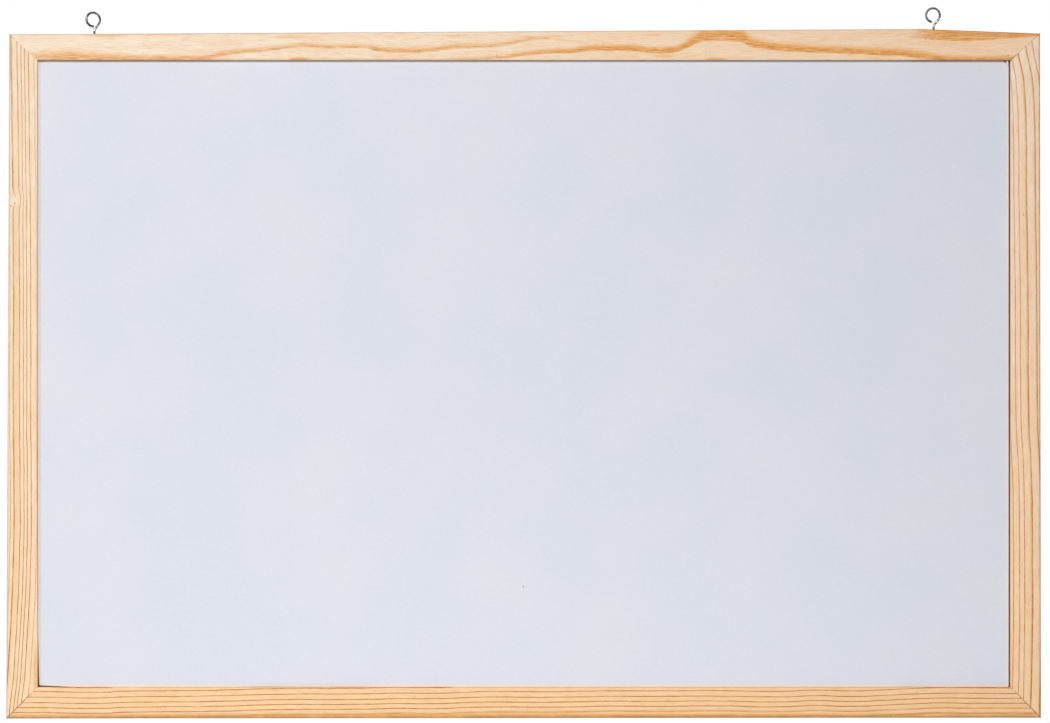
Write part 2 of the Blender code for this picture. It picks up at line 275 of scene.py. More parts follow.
def makeGrainLineGroup():
    # one latewood line: a soft warm side where the year's growth slowed and a thin dark core, broken up
    tree, given, out = newGroup(
        "grainLine", "ShaderNodeTree",
        [("Across", "Float", 0.0), ("Along", "Float", 0.0), ("Place", "Float", 0.0),
         ("Soft Side", "Float", 1.0), ("Core Width", "Float", 0.45), ("Warmth", "Float", 1.0),
         ("Darkness", "Float", 1.0)],
        [("Halo", "Float"), ("Core", "Float")],
    )
    slowAlong = calc(tree, "MULTIPLY", given["Along"], lineLook["slowBreaks"])
    slowPlace = combine(tree, slowAlong, given["Place"], lineLook["slowSeed"])
    slowBreak = noise(tree, slowPlace, 1.0, 3.0, 0.6)
    fineAlong = calc(tree, "MULTIPLY", given["Along"], lineLook["fineBreaks"])
    finePlace = combine(tree, fineAlong, given["Place"], lineLook["fineSeed"])
    fineBreak = noise(tree, finePlace, 1.0, 2.0, 0.5)
    away = calc(tree, "SUBTRACT", given["Across"], given["Place"])
    softStart = calc(tree, "MULTIPLY", given["Soft Side"], -1.0)
    softFull = calc(tree, "MULTIPLY", softStart, lineLook["softFull"])
    rising = remap(tree, away, softStart, softFull, smooth=True)
    falling = remap(tree, away, 0.0, given["Core Width"], 1.0, 0.0, smooth=True)
    mask = calc(tree, "MULTIPLY", rising, falling)
    haloBreak = remap(tree, slowBreak, 0.3, 0.6, 0.6, 1.0)
    halo = calc(tree, "MULTIPLY", calc(tree, "MULTIPLY", mask, haloBreak), given["Warmth"])
    sideways = calc(tree, "ABSOLUTE", away)
    inner = calc(tree, "MULTIPLY", given["Core Width"], lineLook["coreFull"])
    line = remap(tree, sideways, inner, given["Core Width"], 1.0, 0.0, smooth=True)
    slow = remap(tree, slowBreak, 0.34, 0.60, 0.55, 1.0)
    quick = remap(tree, fineBreak, 0.35, 0.6, 0.75, 1.0)
    broken = calc(tree, "MULTIPLY", line, calc(tree, "MULTIPLY", slow, quick))
    core = calc(tree, "MULTIPLY", broken, given["Darkness"])
    feed(tree, out["Halo"], halo)
    feed(tree, out["Core"], core)
    return tree


def makeGrainBandGroup():
    # a broad band of latewood, darkest at its peak and fading towards a lower and an upper limit
    tree, given, out = newGroup(
        "grainBand", "ShaderNodeTree",
        [("Across", "Float", 0.0), ("Lower", "Float", 0.0), ("Peak", "Float", 0.5), ("Upper", "Float", 1.0),
         ("Strength", "Float", 1.0), ("Streaks", "Float", 0.5)],
        [("Halo", "Float"), ("Core", "Float")],
    )
    nearPeak = mixNumber(tree, lineLook["bandFull"], given["Lower"], given["Peak"])
    rising = remap(tree, given["Across"], given["Lower"], nearPeak, smooth=True)
    falling = remap(tree, given["Across"], nearPeak, given["Upper"], 1.0, 0.0)
    shape = calc(tree, "MULTIPLY", rising, falling)
    streaky = remap(tree, given["Streaks"], 0.36, 0.58, 0.55, 1.15)
    broad = remap(tree, shape, 0.0, 0.85, smooth=True)
    halo = calc(tree, "MULTIPLY", broad, calc(tree, "MULTIPLY", streaky, given["Strength"]))
    middle = remap(tree, shape, 0.4, 0.95, smooth=True)
    dark = remap(tree, given["Streaks"], 0.42, 0.58, 0.0, 1.0)
    core = calc(tree, "MULTIPLY", calc(tree, "MULTIPLY", middle, dark), given["Strength"])
    feed(tree, out["Halo"], calc(tree, "MINIMUM", halo, 1.0))
    feed(tree, out["Core"], core)
    return tree


fibreLook = {
    # each pattern in the wood: scale along, scale across, shift along, noise detail and noise roughness
    "fibre": (0.09, 1.9, 0.0, 3.0, 0.7),
    "dash": (0.35, 3.2, 17.0, 1.0, 0.5),
    "cloud": (0.02, 0.16, 31.0, 2.0, 0.5),
    "wander": (0.03, 0.05, 47.0, 1.0, 0.5),
    "pinkStreak": (0.045, 0.75, 59.0, 3.0, 0.6),
}


def makeWoodFibreGroup():
    # the fine look of planed pine: fibres, tiny resin dashes and slow clouds, all drawn out along the rail
    tree, given, out = newGroup(
        "woodFibre", "ShaderNodeTree",
        [("Along", "Float", 0.0), ("Across", "Float", 0.0), ("Depth", "Float", 0.0),
         ("Seed", "Float", 0.0)],
        [("Fibre", "Float"), ("Dash", "Float"), ("Cloud", "Float"), ("Wander", "Float"),
         ("Pink Streak", "Float")],
    )

    def drawnOut(name):
        alongScale, acrossScale, shift, detail, roughness = fibreLook[name]
        along = calc(tree, "MULTIPLY", given["Along"], alongScale)
        across = calc(tree, "MULTIPLY", given["Across"], acrossScale)
        depth = calc(tree, "MULTIPLY", given["Depth"], acrossScale)
        shifted = calc(tree, "ADD", along, calc(tree, "ADD", given["Seed"], shift))
        return noise(tree, combine(tree, shifted, across, depth), 1.0, detail, roughness)

    feed(tree, out["Fibre"], drawnOut("fibre"))
    feed(tree, out["Dash"], remap(tree, drawnOut("dash"), 0.63, 0.78, smooth=True))
    feed(tree, out["Cloud"], drawnOut("cloud"))
    feed(tree, out["Wander"], calc(tree, "SUBTRACT", drawnOut("wander"), 0.5))
    feed(tree, out["Pink Streak"], remap(tree, drawnOut("pinkStreak"), 0.42, 0.68, smooth=True))
    return tree


def makeGrimeAndShadeGroup():
    # handling grime and painted shade: strongest at distance 0 and gone at the given width, patchy along
    # the way; it paints the shade along the outer arrises and darkens the mitres
    tree, given, out = newGroup(
        "grime", "ShaderNodeTree",
        [("Distance", "Float", 0.0), ("Width", "Float", 1.0), ("Strength", "Float", 0.5),
         ("Point", "Vector", None), ("Patch Size", "Float", 6.0)],
        [("Mask", "Float")],
    )
    near = remap(tree, given["Distance"], 0.0, given["Width"], 1.0, 0.0, smooth=True)
    patchScale = calc(tree, "DIVIDE", 1 / mm, given["Patch Size"])
    patches = noise(tree, given["Point"], patchScale, 3.0, 0.6)
    patchy = remap(tree, patches, 0.35, 0.6, 0.45, 1.0)
    feed(tree, out["Mask"], calc(tree, "MULTIPLY", calc(tree, "MULTIPLY", near, patchy), given["Strength"]))
    return tree


railPlace = makeRailPlaceGroup()
lineDistance = makeLineDistanceGroup()
grainLine = makeGrainLineGroup()
grainBand = makeGrainBandGroup()
woodFibre = makeWoodFibreGroup()
grime = makeGrimeAndShadeGroup()
print("shader groups made")


# camera, light and floor

camera = {
    "middle": (0.85 * mm, -275.1 * mm),   # what the middle of the picture looks at, sideways and up
    "distance": 2.2,
    "widthSeen": 913.9 * mm,              # how much of the rails' front plane the picture spans
    "sensor": 36.0,
    "nearest": 0.05,
    "farthest": 50,
}


def addCamera():
    data = bpy.data.cameras.new("photoCamera")
    data.sensor_width = camera["sensor"]
    data.lens = camera["sensor"] * camera["distance"] / camera["widthSeen"]
    data.clip_start = camera["nearest"]
    data.clip_end = camera["farthest"]
    made = bpy.data.objects.new("photoCamera", data)
    x, z = camera["middle"]
    made.location = (x, frontFace - camera["distance"], z)
    made.rotation_euler = (math.radians(90), 0, 0)
    bpy.context.scene.collection.objects.link(made)
    bpy.context.scene.camera = made


studio = {
    # lamps: place, breadth, height, power
    "keySoftBox": ((-0.60, -3.60, 1.60), 0.35, 0.35, 74.0),
    "sideSoftBox": ((-1.40, -1.50, -0.30), 0.50, 0.50, 5.9),
    "lowStrip": ((0.0, -0.80, -0.69), 1.00, 0.12, 1.0),
    "skyAbove": 0.27,
    "skyBelow": 0.27,
    "skyTurns": (-0.4, 0.8),              # between these heights the light below turns to that above
    "backdrop": 1.0,
    "floorDrop": 0.222,                   # from the bottom rail down to the floor
    "floorRadius": 1.25,
    "floorSides": 128,
    "floorColour": (0.93, 0.93, 0.925, 1.0),
    "floorRoughness": 0.9,
}


def addSoftBox(name, aim):
    place, breadth, height, power = studio[name]
    data = bpy.data.lights.new(name, "AREA")
    data.shape = "RECTANGLE"
    data.size = breadth
    data.size_y = height
    data.energy = power
    made = bpy.data.objects.new(name, data)
    made.location = place
    made.rotation_euler = (aim - Vector(place)).to_track_quat("-Z", "Y").to_euler()
    bpy.context.scene.collection.objects.link(made)


def addWorld():
    world = bpy.data.worlds.new("studioWorld")
    world.use_nodes = True
    bpy.context.scene.world = world
    tree = world.node_tree
    tree.nodes.clear()
    direction = addNode(tree, "ShaderNodeTexCoord").outputs["Generated"]
    split = addNode(tree, "ShaderNodeSeparateXYZ")
    feed(tree, split.inputs[0], direction)
    low, high = studio["skyTurns"]
    below, above = studio["skyBelow"], studio["skyAbove"]
    soft = remap(tree, split.outputs["Z"], low, high, below, above, smooth=True)
    isCamera = addNode(tree, "ShaderNodeLightPath").outputs["Is Camera Ray"]
    strength = mixNumber(tree, isCamera, soft, studio["backdrop"])
    background = addNode(tree, "ShaderNodeBackground")
    background.inputs["Color"].default_value = (1.0, 1.0, 1.0, 1.0)
    feed(tree, background.inputs["Strength"], strength)
    output = addNode(tree, "ShaderNodeOutputWorld")
    tree.links.new(background.outputs[0], output.inputs[0])


def addFloor():
    build = bmesh.new()
    bmesh.ops.create_circle(
        build, cap_ends=True, segments=studio["floorSides"], radius=studio["floorRadius"])
    mesh = bpy.data.meshes.new("studioFloor")
    build.to_mesh(mesh)
    build.free()
    made = bpy.data.objects.new("studioFloor", mesh)
    middle = (frontFace + backFace) / 2
    made.location = (0, middle, sightBottom - studio["floorDrop"])
    bpy.context.scene.collection.objects.link(made)
    finish, tree, shader = newMaterial("paleFloor")
    feed(tree, shader.inputs["Base Color"], studio["floorColour"])
    feed(tree, shader.inputs["Roughness"], studio["floorRoughness"])
    mesh.materials.append(finish)


addCamera()
addWorld()
boardMiddle = Vector((0, 0, (sightTop + sightBottom) / 2))
for lamp in ("keySoftBox", "sideSoftBox", "lowStrip"):
    addSoftBox(lamp, boardMiddle)
addFloor()
bpy.context.scene.view_settings.view_transform = "Standard"
bpy.context.scene.view_settings.look = "None"
print("camera, light and floor placed")


# the pine rails

railSection = {
    "frontLip": 4.5 * mm,
    "grooveDepth": 7.0 * mm,
    "grooveBack": -6.9 * mm,
    "sightEase": 0.45 * mm,
    "frontRound": 1.8 * mm,
    "backRound": 0.8 * mm,
    "easeSteps": 4,
    "roundSteps": 8,
}


def railProfile():
    # points as (offset, depth, measured from the outer edge or not)
    sizes = railSection
    grooveFront = frontFace + sizes["frontLip"]
    points = []
    for step in range(sizes["easeSteps"] + 1):
        turn = math.radians(90) * step / sizes["easeSteps"]
        offset = sizes["sightEase"] * (1 - math.cos(turn))
        points.append((offset, frontFace + sizes["sightEase"] * (1 - math.sin(turn)), 0.0))
    for step in range(sizes["roundSteps"] + 1):
        turn = math.radians(90) * step / sizes["roundSteps"]
        offset = sizes["frontRound"] * (1 - math.sin(turn))
        points.append((offset, frontFace + sizes["frontRound"] * (1 - math.cos(turn)), 1.0))
    for step in range(sizes["roundSteps"] + 1):
        turn = math.radians(90) * step / sizes["roundSteps"]
        offset = sizes["backRound"] * (1 - math.cos(turn))
        points.append((offset, backFace - sizes["backRound"] * (1 - math.sin(turn)), 1.0))
    points.append((0.0, backFace, 0.0))
    points.append((0.0, sizes["grooveBack"], 0.0))
    points.append((sizes["grooveDepth"], sizes["grooveBack"], 0.0))
    points.append((sizes["grooveDepth"], grooveFront, 0.0))
    points.append((0.0, grooveFront, 0.0))
    return points


def loopMesh(name, places, closed, **numbers):
    # a wire mesh through places, with a number for each of its points under each name
    mesh = bpy.data.meshes.new(name)
    count = len(places)
    edges = [(here, here + 1) for here in range(count - 1)] + ([(count - 1, 0)] if closed else [])
    mesh.from_pydata([tuple(place) for place in places], edges, [])
    for label, values in numbers.items():
        attribute = mesh.attributes.new(label, "FLOAT", "POINT")
        attribute.data.foreach_set("value", values)
    return mesh


def named(tree, label, kind="FLOAT"):
    node = addNode(tree, "GeometryNodeInputNamedAttribute", data_type=kind)
    node.inputs["Name"].default_value = label
    return node.outputs[0]


def store(tree, geometry, label, value, kind="FLOAT"):
    node = addNode(tree, "GeometryNodeStoreNamedAttribute", data_type=kind, domain="POINT")
    node.inputs["Name"].default_value = label
    feed(tree, node.inputs["Geometry"], geometry)
    feed(tree, node.inputs["Value"], value)
    return node.outputs[0]


def finishTree(tree, geometry, material, out):
    real = addNode(tree, "GeometryNodeRealizeInstances")
    feed(tree, real.inputs[0], geometry)
    coat = addNode(tree, "GeometryNodeSetMaterial")
    feed(tree, coat.inputs["Geometry"], real.outputs[0])
    feed(tree, coat.inputs["Material"], material)
    feed(tree, out["Geometry"], coat.outputs[0])


def makeRailTree():
    # sweeps the section from one mitre to the other, between a straight sight edge and a planed outer edge
    tree, given, out = newGroup(
        "railSweep", "GeometryNodeTree",
        [("Geometry", "Geometry", None), ("Sight Start", "Vector", None), ("Along", "Vector", None),
         ("Outward", "Vector", None), ("Length", "Float", 1.0), ("Start Overhang", "Float", 0.0),
         ("End Overhang", "Float", 0.0), ("Start Width", "Float", 0.0), ("End Width", "Float", 0.0),
         ("Crest Place", "Float", 0.0), ("Crest Width", "Float", 0.0), ("Inner Gap", "Float", 0.0),
         ("Start Gap", "Float", 0.0), ("End Gap", "Float", 0.0), ("Plane Wave", "Float", 0.0),
         ("Wave Length", "Float", 0.1), ("Wave Seed", "Float", 0.0), ("Steps", "Int", 100),
         ("Material", "Material", None)],
        [("Geometry", "Geometry")],
    )
    section = addNode(tree, "GeometryNodeMeshToCurve")
    feed(tree, section.inputs[0], given["Geometry"])
    path = addNode(tree, "GeometryNodeCurvePrimitiveLine")
    path.inputs["End"].default_value = (0, 0, 1)
    stepped = addNode(tree, "GeometryNodeResampleCurve")
    feed(tree, stepped.inputs["Curve"], path.outputs[0])
    feed(tree, stepped.inputs["Count"], given["Steps"])
    factor = addNode(tree, "GeometryNodeSplineParameter").outputs["Factor"]
    marked = store(tree, stepped.outputs[0], "share", factor)
    sweep = addNode(tree, "GeometryNodeCurveToMesh")
    feed(tree, sweep.inputs["Curve"], marked)
    feed(tree, sweep.inputs["Profile Curve"], section.outputs[0])
    sweep.inputs["Fill Caps"].default_value = True

    share = named(tree, "share")
    offset, depth, fromOuter = named(tree, "offset"), named(tree, "depth"), named(tree, "fromOuter")
    sightAlong = calc(tree, "MULTIPLY", share, given["Length"])
    overhangs = calc(tree, "ADD", given["Start Overhang"], given["End Overhang"])
    fullLength = calc(tree, "ADD", given["Length"], overhangs)
    outerAlong = calc(tree, "SUBTRACT", calc(tree, "MULTIPLY", share, fullLength), given["Start Overhang"])

    # the outer edge: two straight planed runs that meet at the crest
    beforeCrest = calc(tree, "DIVIDE", calc(tree, "ADD", outerAlong, given["Start Overhang"]),
                       calc(tree, "ADD", given["Crest Place"], given["Start Overhang"]))
    outerEnd = calc(tree, "ADD", given["Length"], given["End Overhang"])
    afterCrest = calc(tree, "DIVIDE", calc(tree, "SUBTRACT", outerEnd, outerAlong),
                      calc(tree, "SUBTRACT", outerEnd, given["Crest Place"]))

    def unclampedMix(part, first, second):
        return calc(tree, "MULTIPLY_ADD", part, calc(tree, "SUBTRACT", second, first), first)

    firstRun = unclampedMix(beforeCrest, given["Start Width"], given["Crest Width"])
    secondRun = unclampedMix(afterCrest, given["End Width"], given["Crest Width"])
    edge = calc(tree, "MINIMUM", firstRun, secondRun)
    waves = calc(tree, "DIVIDE", outerAlong, given["Wave Length"])
    wavePlace = combine(tree, waves, given["Wave Seed"], 0.0)
    wave = calc(tree, "MULTIPLY", noise(tree, wavePlace, 1.0, 2.0, 0.5), given["Plane Wave"])
    nearEnd = calc(tree, "MINIMUM", share, calc(tree, "SUBTRACT", 1.0, share))
    awayFromEnds = remap(tree, nearEnd, 0.0, railWave["fade"], smooth=True)
    edge = calc(tree, "SUBTRACT", edge, calc(tree, "MULTIPLY", wave, awayFromEnds))

    fromEdge = calc(tree, "SUBTRACT", edge, offset)
    outward = unclampedMix(fromOuter, offset, fromEdge)
    outwardShare = calc(tree, "DIVIDE", outward, edge)
    along = unclampedMix(outwardShare, sightAlong, outerAlong)
    startPull = unclampedMix(outwardShare, given["Inner Gap"], given["Start Gap"])
    endPull = calc(tree, "MULTIPLY", unclampedMix(outwardShare, given["Inner Gap"], given["End Gap"]), -1.0)
    along = calc(tree, "ADD", along, unclampedMix(share, startPull, endPull))

    runAlong = vectorCalc(tree, "SCALE", given["Along"], scale=along)
    runOut = vectorCalc(tree, "SCALE", given["Outward"], scale=outward)
    place = vectorCalc(tree, "ADD", given["Sight Start"], runAlong)
    place = vectorCalc(tree, "ADD", place, runOut)
    place = vectorCalc(tree, "ADD", place, combine(tree, 0.0, depth, 0.0))
    setPlace = addNode(tree, "GeometryNodeSetPosition")
    feed(tree, setPlace.inputs["Geometry"], sweep.outputs[0])
    feed(tree, setPlace.inputs["Position"], place)
    finishTree(tree, setPlace.outputs[0], given["Material"], out)
    return tree


def newCarrier(name, mesh):
    # a passing object that holds modifiers while a mesh is made
    carrier = bpy.data.objects.new(name + "Source", mesh)
    bpy.context.scene.collection.objects.link(carrier)
    return carrier


def plainMesh(carrier, name):
    # what the carrier's modifiers make, as a plain mesh, after which the carrier is gone
    bpy.context.view_layer.update()
    evaluated = carrier.evaluated_get(bpy.context.evaluated_depsgraph_get())
    plain = bpy.data.meshes.new_from_object(evaluated)
    plain.name = name
    bpy.data.objects.remove(carrier)
    return plain


def runTree(name, mesh, tree, values):
    # puts the tree on an object as a modifier, with values by its inputs' names, and gives the plain mesh
    carrier = newCarrier(name, mesh)
    modifier = carrier.modifiers.new(name, "NODES")
    modifier.node_group = tree
    socketOf = {item.name: item.identifier for item in tree.interface.items_tree if item.in_out == "INPUT"}
    for label, value in values.items():
        modifier[socketOf[label]] = value
    return plainMesh(carrier, name)


def addPiece(name, mesh, nodes):
    made = bpy.data.objects.new(name, mesh)
    bpy.context.scene.collection.objects.link(made)
    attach(made, "root")
    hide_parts(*nodes)
    return made


def faceOutwards(mesh):
    build = bmesh.new()
    build.from_mesh(mesh)
    bmesh.ops.remove_doubles(build, verts=build.verts, dist=weldDistance)
    bmesh.ops.recalc_face_normals(build, faces=build.faces)
    build.to_mesh(mesh)
    build.free()


rails = {
    "topRail": {
        "node": "top_rail", "start": "topLeft", "end": "topRight", "outward": (0, 0, 1),
        "seed": 3.0, "pinkShare": 0.22, "startGap": 0.01 * mm, "endGap": 0.01 * mm,
        "crestFromSightEnd": 78.0 * mm,
    },
    "bottomRail": {
        "node": "bottom_rail", "start": "bottomLeft", "end": "bottomRight", "outward": (0, 0, -1),
        "seed": 11.0, "pinkShare": 0.45, "startGap": 0.01 * mm, "endGap": 0.01 * mm,
        "crestFromSightEnd": None,
    },
    "leftRail": {
        "node": "left_rail", "start": "bottomLeft", "end": "topLeft", "outward": (-1, 0, 0),
        "seed": 23.0, "pinkShare": 0.4, "startGap": 0.01 * mm, "endGap": 0.01 * mm,
        "crestFromSightEnd": None,
    },
    "rightRail": {
        "node": "right_rail", "start": "bottomRight", "end": "topRight", "outward": (1, 0, 0),
        "seed": 37.0, "pinkShare": 0.45, "startGap": 0.01 * mm, "endGap": 0.01 * mm,
        "crestFromSightEnd": None,
    },
}
railWave = {
    "innerGap": 0.006 * mm,
    "planedOff": 0.002 * mm,
    "planeWave": 0.16 * mm,
    "waveLength": 90 * mm,
    "fade": 0.06,              # the wave fades out over this share of the rail at either end
    "steps": 120,
    "sharpAngle": math.radians(32),
}


def buildRail(name, rail, tree, finish):
    start, end = sightCorner[rail["start"]], sightCorner[rail["end"]]
    outerStart, outerEnd = outerCorner[rail["start"]], outerCorner[rail["end"]]
    along, outward = (end - start).normalized(), Vector(rail["outward"])
    length = (end - start).length
    startWidth = (outerStart - start).dot(outward) - railWave["planedOff"]
    endWidth = (outerEnd - end).dot(outward) - railWave["planedOff"]
    startOverhang, endOverhang = (start - outerStart).dot(along), (outerEnd - end).dot(along)
    if rail["crestFromSightEnd"] is None:
        crestPlace = length / 2
        share = (crestPlace + startOverhang) / (length + startOverhang + endOverhang)
        crestWidth = startWidth + (endWidth - startWidth) * share
    else:
        crestPlace = length - rail["crestFromSightEnd"]
        crestWidth = crestTop - sightTop
    profile = railProfile()
    wire = loopMesh(
        name + "Section", [(offset, depth, 0) for offset, depth, fromOuter in profile], True,
        offset=[point[0] for point in profile],
        depth=[point[1] for point in profile],
        fromOuter=[point[2] for point in profile],
    )
    mesh = runTree(name, wire, tree, {
        "Sight Start": tuple(start), "Along": tuple(along), "Outward": tuple(outward), "Length": length,
        "Start Overhang": startOverhang, "End Overhang": endOverhang,
        "Start Width": startWidth, "End Width": endWidth,
        "Crest Place": crestPlace, "Crest Width": crestWidth,
        "Inner Gap": railWave["innerGap"], "Start Gap": rail["startGap"], "End Gap": rail["endGap"],
        "Plane Wave": railWave["planeWave"], "Wave Length": railWave["waveLength"],
        "Wave Seed": rail["seed"], "Steps": railWave["steps"], "Material": finish,
    })
    faceOutwards(mesh)
    mesh.shade_smooth()
    mesh.set_sharp_from_angle(angle=railWave["sharpAngle"])
    return mesh


# pine finish: each rail has its own grain lines, drawn out from the sight edge in millimetres

pine = {
    "line": (0.52, 0.16, 0.024, 1.0),
    "pink": (0.90, 0.58, 0.37, 1.0),
    "fleck": (0.22, 0.085, 0.032, 1.0),
    "grimeColour": (0.48, 0.25, 0.10, 1.0),
    "mitreColour": (0.27, 0.085, 0.015, 1.0),
    "mostCloud": 0.28,               # how far slow clouds turn the pale wood warm
    "mostWarmFibre": 0.45,
    "fibreShade": (1.045, 0.935),    # what pale and dark fibres multiply the colour by
    "dashStrength": 0.22,
    "bandCore": 0.5,                 # how dark the middle of a broad band is, beside a narrow line
    "lineWander": 0.9,
    "bandWander": 0.8,
    "lineFray": 0.5,
    "bandFray": 1.8,
    # the least and the most that each kind of drawn curve holds
    "bendLimits": (-12.0, 12.0),
    "deepenLimits": (0.8, 1.4),
    "bandLimits": (-6.0, 60.0),
    "strengthLimits": (0.0, 1.1),
    "mitreWidth": 0.85,
    "mitrePatch": 2.2,
    "arrisPatch": 9.0,
    "roughness": 0.55,
    "rougher": 0.07,
    "smoother": 0.05,
    "specular": 0.2,
    "coreHeight": 0.5,
    "bumpDistance": 0.06 * mm,
    "bumpStrength": 0.6,
    # how wide and how strong the shade along each rail's outer arris is
    "arris": {
        "topRail": (1.4, 0.35), "leftRail": (1.6, 0.5), "rightRail": (2.6, 0.7), "bottomRail": (5.0, 0.8),
    },
    # how dark each mitre is at its sight end, along its middle and at its outer end
    "mitre": {
        "topLeft": (0.25, 0.04, 0.5), "topRight": (1.0, 0.25, 0.95),
        "bottomRight": (0.15, 0.85, 1.0), "bottomLeft": (0.0, 0.8, 1.0),
    },
}

grain = {
    # lines: place, soft side, half core, warmth, darkness
    # bend: place along the rail, shift outwards
    # deepen: place along the rail, how much darker the lines are there
    "leftRail": {
        "paleStart": (1.0, 0.76, 0.51, 1.0), "paleEnd": (0.98, 0.85, 0.68, 1.0),
        "warm": (0.88, 0.55, 0.25, 1.0),
        "depthSlope": 0.55,
        "lines": [
            (0.7, 0.8, 0.4, 0.3, 0.5), (5.5, 0.9, 0.4, 0.55, 0.98), (9.0, 0.8, 0.38, 0.5, 0.92),
            (11.9, 0.8, 0.38, 0.45, 0.88), (15.3, 1.1, 0.42, 0.6, 1.0), (20.6, 2.4, 0.6, 0.9, 0.85),
            (23.8, 1.0, 0.4, 0.5, 0.5), (27.6, 1.2, 0.45, 0.6, 0.6), (31.0, 1.2, 0.45, 0.6, 0.6),
            (34.4, 1.2, 0.45, 0.6, 0.6),
        ],
        "bend": [
            (-600, 9.9), (-583, 9.0), (-572, 8.0), (-553, 5.7), (-535, 4.4), (-510, 2.7), (-483, 1.4),
            (-440, 0.0), (-396, -0.5), (-309, 0.2), (-222, 0.0), (-160, 0.4), (-134, 0.6), (-65, 1.4),
            (-25, 2.0), (20, 2.5),
        ],
        "deepen": [(-600, 1.35), (-480, 1.35), (-300, 1.15), (-100, 0.95), (20, 1.0)],
        # a small knot at the outer edge: place along, its reach along, how far it pushes the lines in
        # from and to: how far out from the sight edge the push starts and is full
        # heart and heartFull: how far in from there its pale heart starts and is full
        "knot": {
            "along": -134.0, "reach": 6.0, "push": 2.3, "from": 6.0, "to": 20.0,
            "heart": 6.0, "heartFull": 1.0,
        },
        # an orange strip beside the sheet at the lower end and a faint one along the outer edge:
        # place along, out from the sight edge, half length, half width, strength
        "patches": [(-548.0, 1.6, 36.0, 2.4, 1.0), (-330.0, 18.5, 330.0, 3.6, 0.4)],
        "flecks": [(-443.4, -137.2, 1.4, 0.3), (-446.4, -139.6, 1.5, 0.35)],
    },
    "rightRail": {
        "paleStart": (1.0, 0.715, 0.435, 1.0), "paleEnd": (1.0, 0.835, 0.67, 1.0),
        "warm": (0.87, 0.485, 0.205, 1.0),
        "depthSlope": -0.5,
        "lines": [
            (-2.1, 1.0, 0.5, 0.7, 0.7), (3.3, 0.9, 0.42, 0.55, 0.88), (7.7, 0.9, 0.42, 0.6, 0.88),
            (14.4, 2.4, 0.66, 0.95, 0.85), (22.0, 2.0, 0.6, 0.9, 0.85), (28.0, 1.6, 0.7, 0.7, 0.6),
        ],
        "bend": [
            (-600, 2.4), (-578, 2.9), (-544, 3.7), (-520, 4.2), (-483, 4.5), (-440, 4.4), (-396, 4.1),
            (-372, 3.4), (-350, 2.4), (-325, 1.2), (-296, 0.9), (-222, 0.6), (-134, -0.5), (-100, -0.8),
            (-65, -1.2), (-48, -2.0), (-30, -3.2), (-20, -5.0), (-10, -7.4), (20, -12.0),
        ],
        "deepen": [(-600, 1.3), (-350, 1.1), (-100, 0.85), (20, 0.8)],
        "knot": None,
        "patches": [],
        "flecks": [(434.6, -147.6, 0.8, 0.6), (434.8, -146.0, 0.6, 0.45), (445.2, -71.5, 0.8, 0.4)],
    },
    "bottomRail": {
        "paleStart": (1.0, 0.71, 0.42, 1.0), "paleEnd": (0.965, 0.655, 0.375, 1.0),
        "warm": (0.88, 0.475, 0.175, 1.0),
        "depthSlope": 0.35,
        "lines": [
            (-0.3, 0.8, 0.42, 0.6, 0.9), (3.6, 0.9, 0.42, 0.65, 1.05), (8.5, 0.9, 0.42, 0.65, 1.05),
            (13.3, 0.9, 0.42, 0.65, 1.05), (17.6, 1.0, 0.42, 0.65, 1.05), (21.9, 1.1, 0.45, 0.7, 1.0),
            (26.3, 2.0, 0.7, 0.9, 0.45), (30.6, 2.0, 0.8, 0.9, 0.55), (34.4, 2.0, 0.9, 0.9, 0.55),
        ],
        "bend": [
            (-460, 0.0), (-425, 0.0), (-395, 0.5), (-366, 0.6), (-352, 0.0), (-322, -0.7), (-290, -0.8),
            (-262, -1.3), (-226, -2.4), (-185, -2.8), (-150, -2.8), (-132, -3.1), (-110, -3.7),
            (-80, -3.3), (-50, -4.4), (-30, -4.8), (5, -4.8), (42, -4.9), (72, -5.5), (130, -5.4),
            (155, -5.9), (184, -5.6), (207, -5.1), (224, -5.1), (253, -6.1), (284, -5.4), (313, -6.5),
            (344, -7.7), (366, -8.4), (388, -8.1), (460, -8.0),
        ],
        "deepen": [(-460, 1.1), (460, 1.15)],
        "knot": None,
        # a darker strip all along the outer edge: painted shade on the rounded arris that faces down
        "patches": [(0.0, 26.8, 900.0, 6.0, 1.0)],
        "flecks": [(-312.4, -575.6, 0.7, 0.5), (-405.0, -580.6, 0.8, 0.45), (-229.0, -580.2, 0.7, 0.4)],
    },
}


def railCoordinates(tree, rail):
    point = objectPoint(tree)
    start, end = sightCorner[rail["start"]], sightCorner[rail["end"]]
    found = useGroup(
        tree, railPlace, point=point, sightPoint=tuple(start), along=tuple((end - start).normalized()),
        outward=rail["outward"], front=frontFace,
    )
    return point, found["Along"], found["Across"], found["Depth"]


def gatherMasks(tree, masks):
    total = masks[0]
    for mask in masks[1:]:
        total = calc(tree, "MAXIMUM", total, mask)
    return total


def edgeShade(tree, point, rail, name):
    # painted shade: darker along the outer arris
    masks = []
    width, strength = pine["arris"][name]
    corners = [outerCorner[rail["start"]], outerCorner[rail["end"]]]
    if name == "topRail":
        crest = Vector((sightRight - rail["crestFromSightEnd"], 0, crestTop))
        runs = [(corners[0], crest), (crest, corners[1])]
    else:
        runs = [tuple(corners)]
    for first, second in runs:
        line = useGroup(tree, lineDistance, point=point, lineStart=tuple(first), lineEnd=tuple(second))
        masks.append(useGroup(
            tree, grime, distance=line["Distance"], width=width, strength=strength, point=point,
            patchSize=pine["arrisPatch"])["Mask"])
    return gatherMasks(tree, masks)


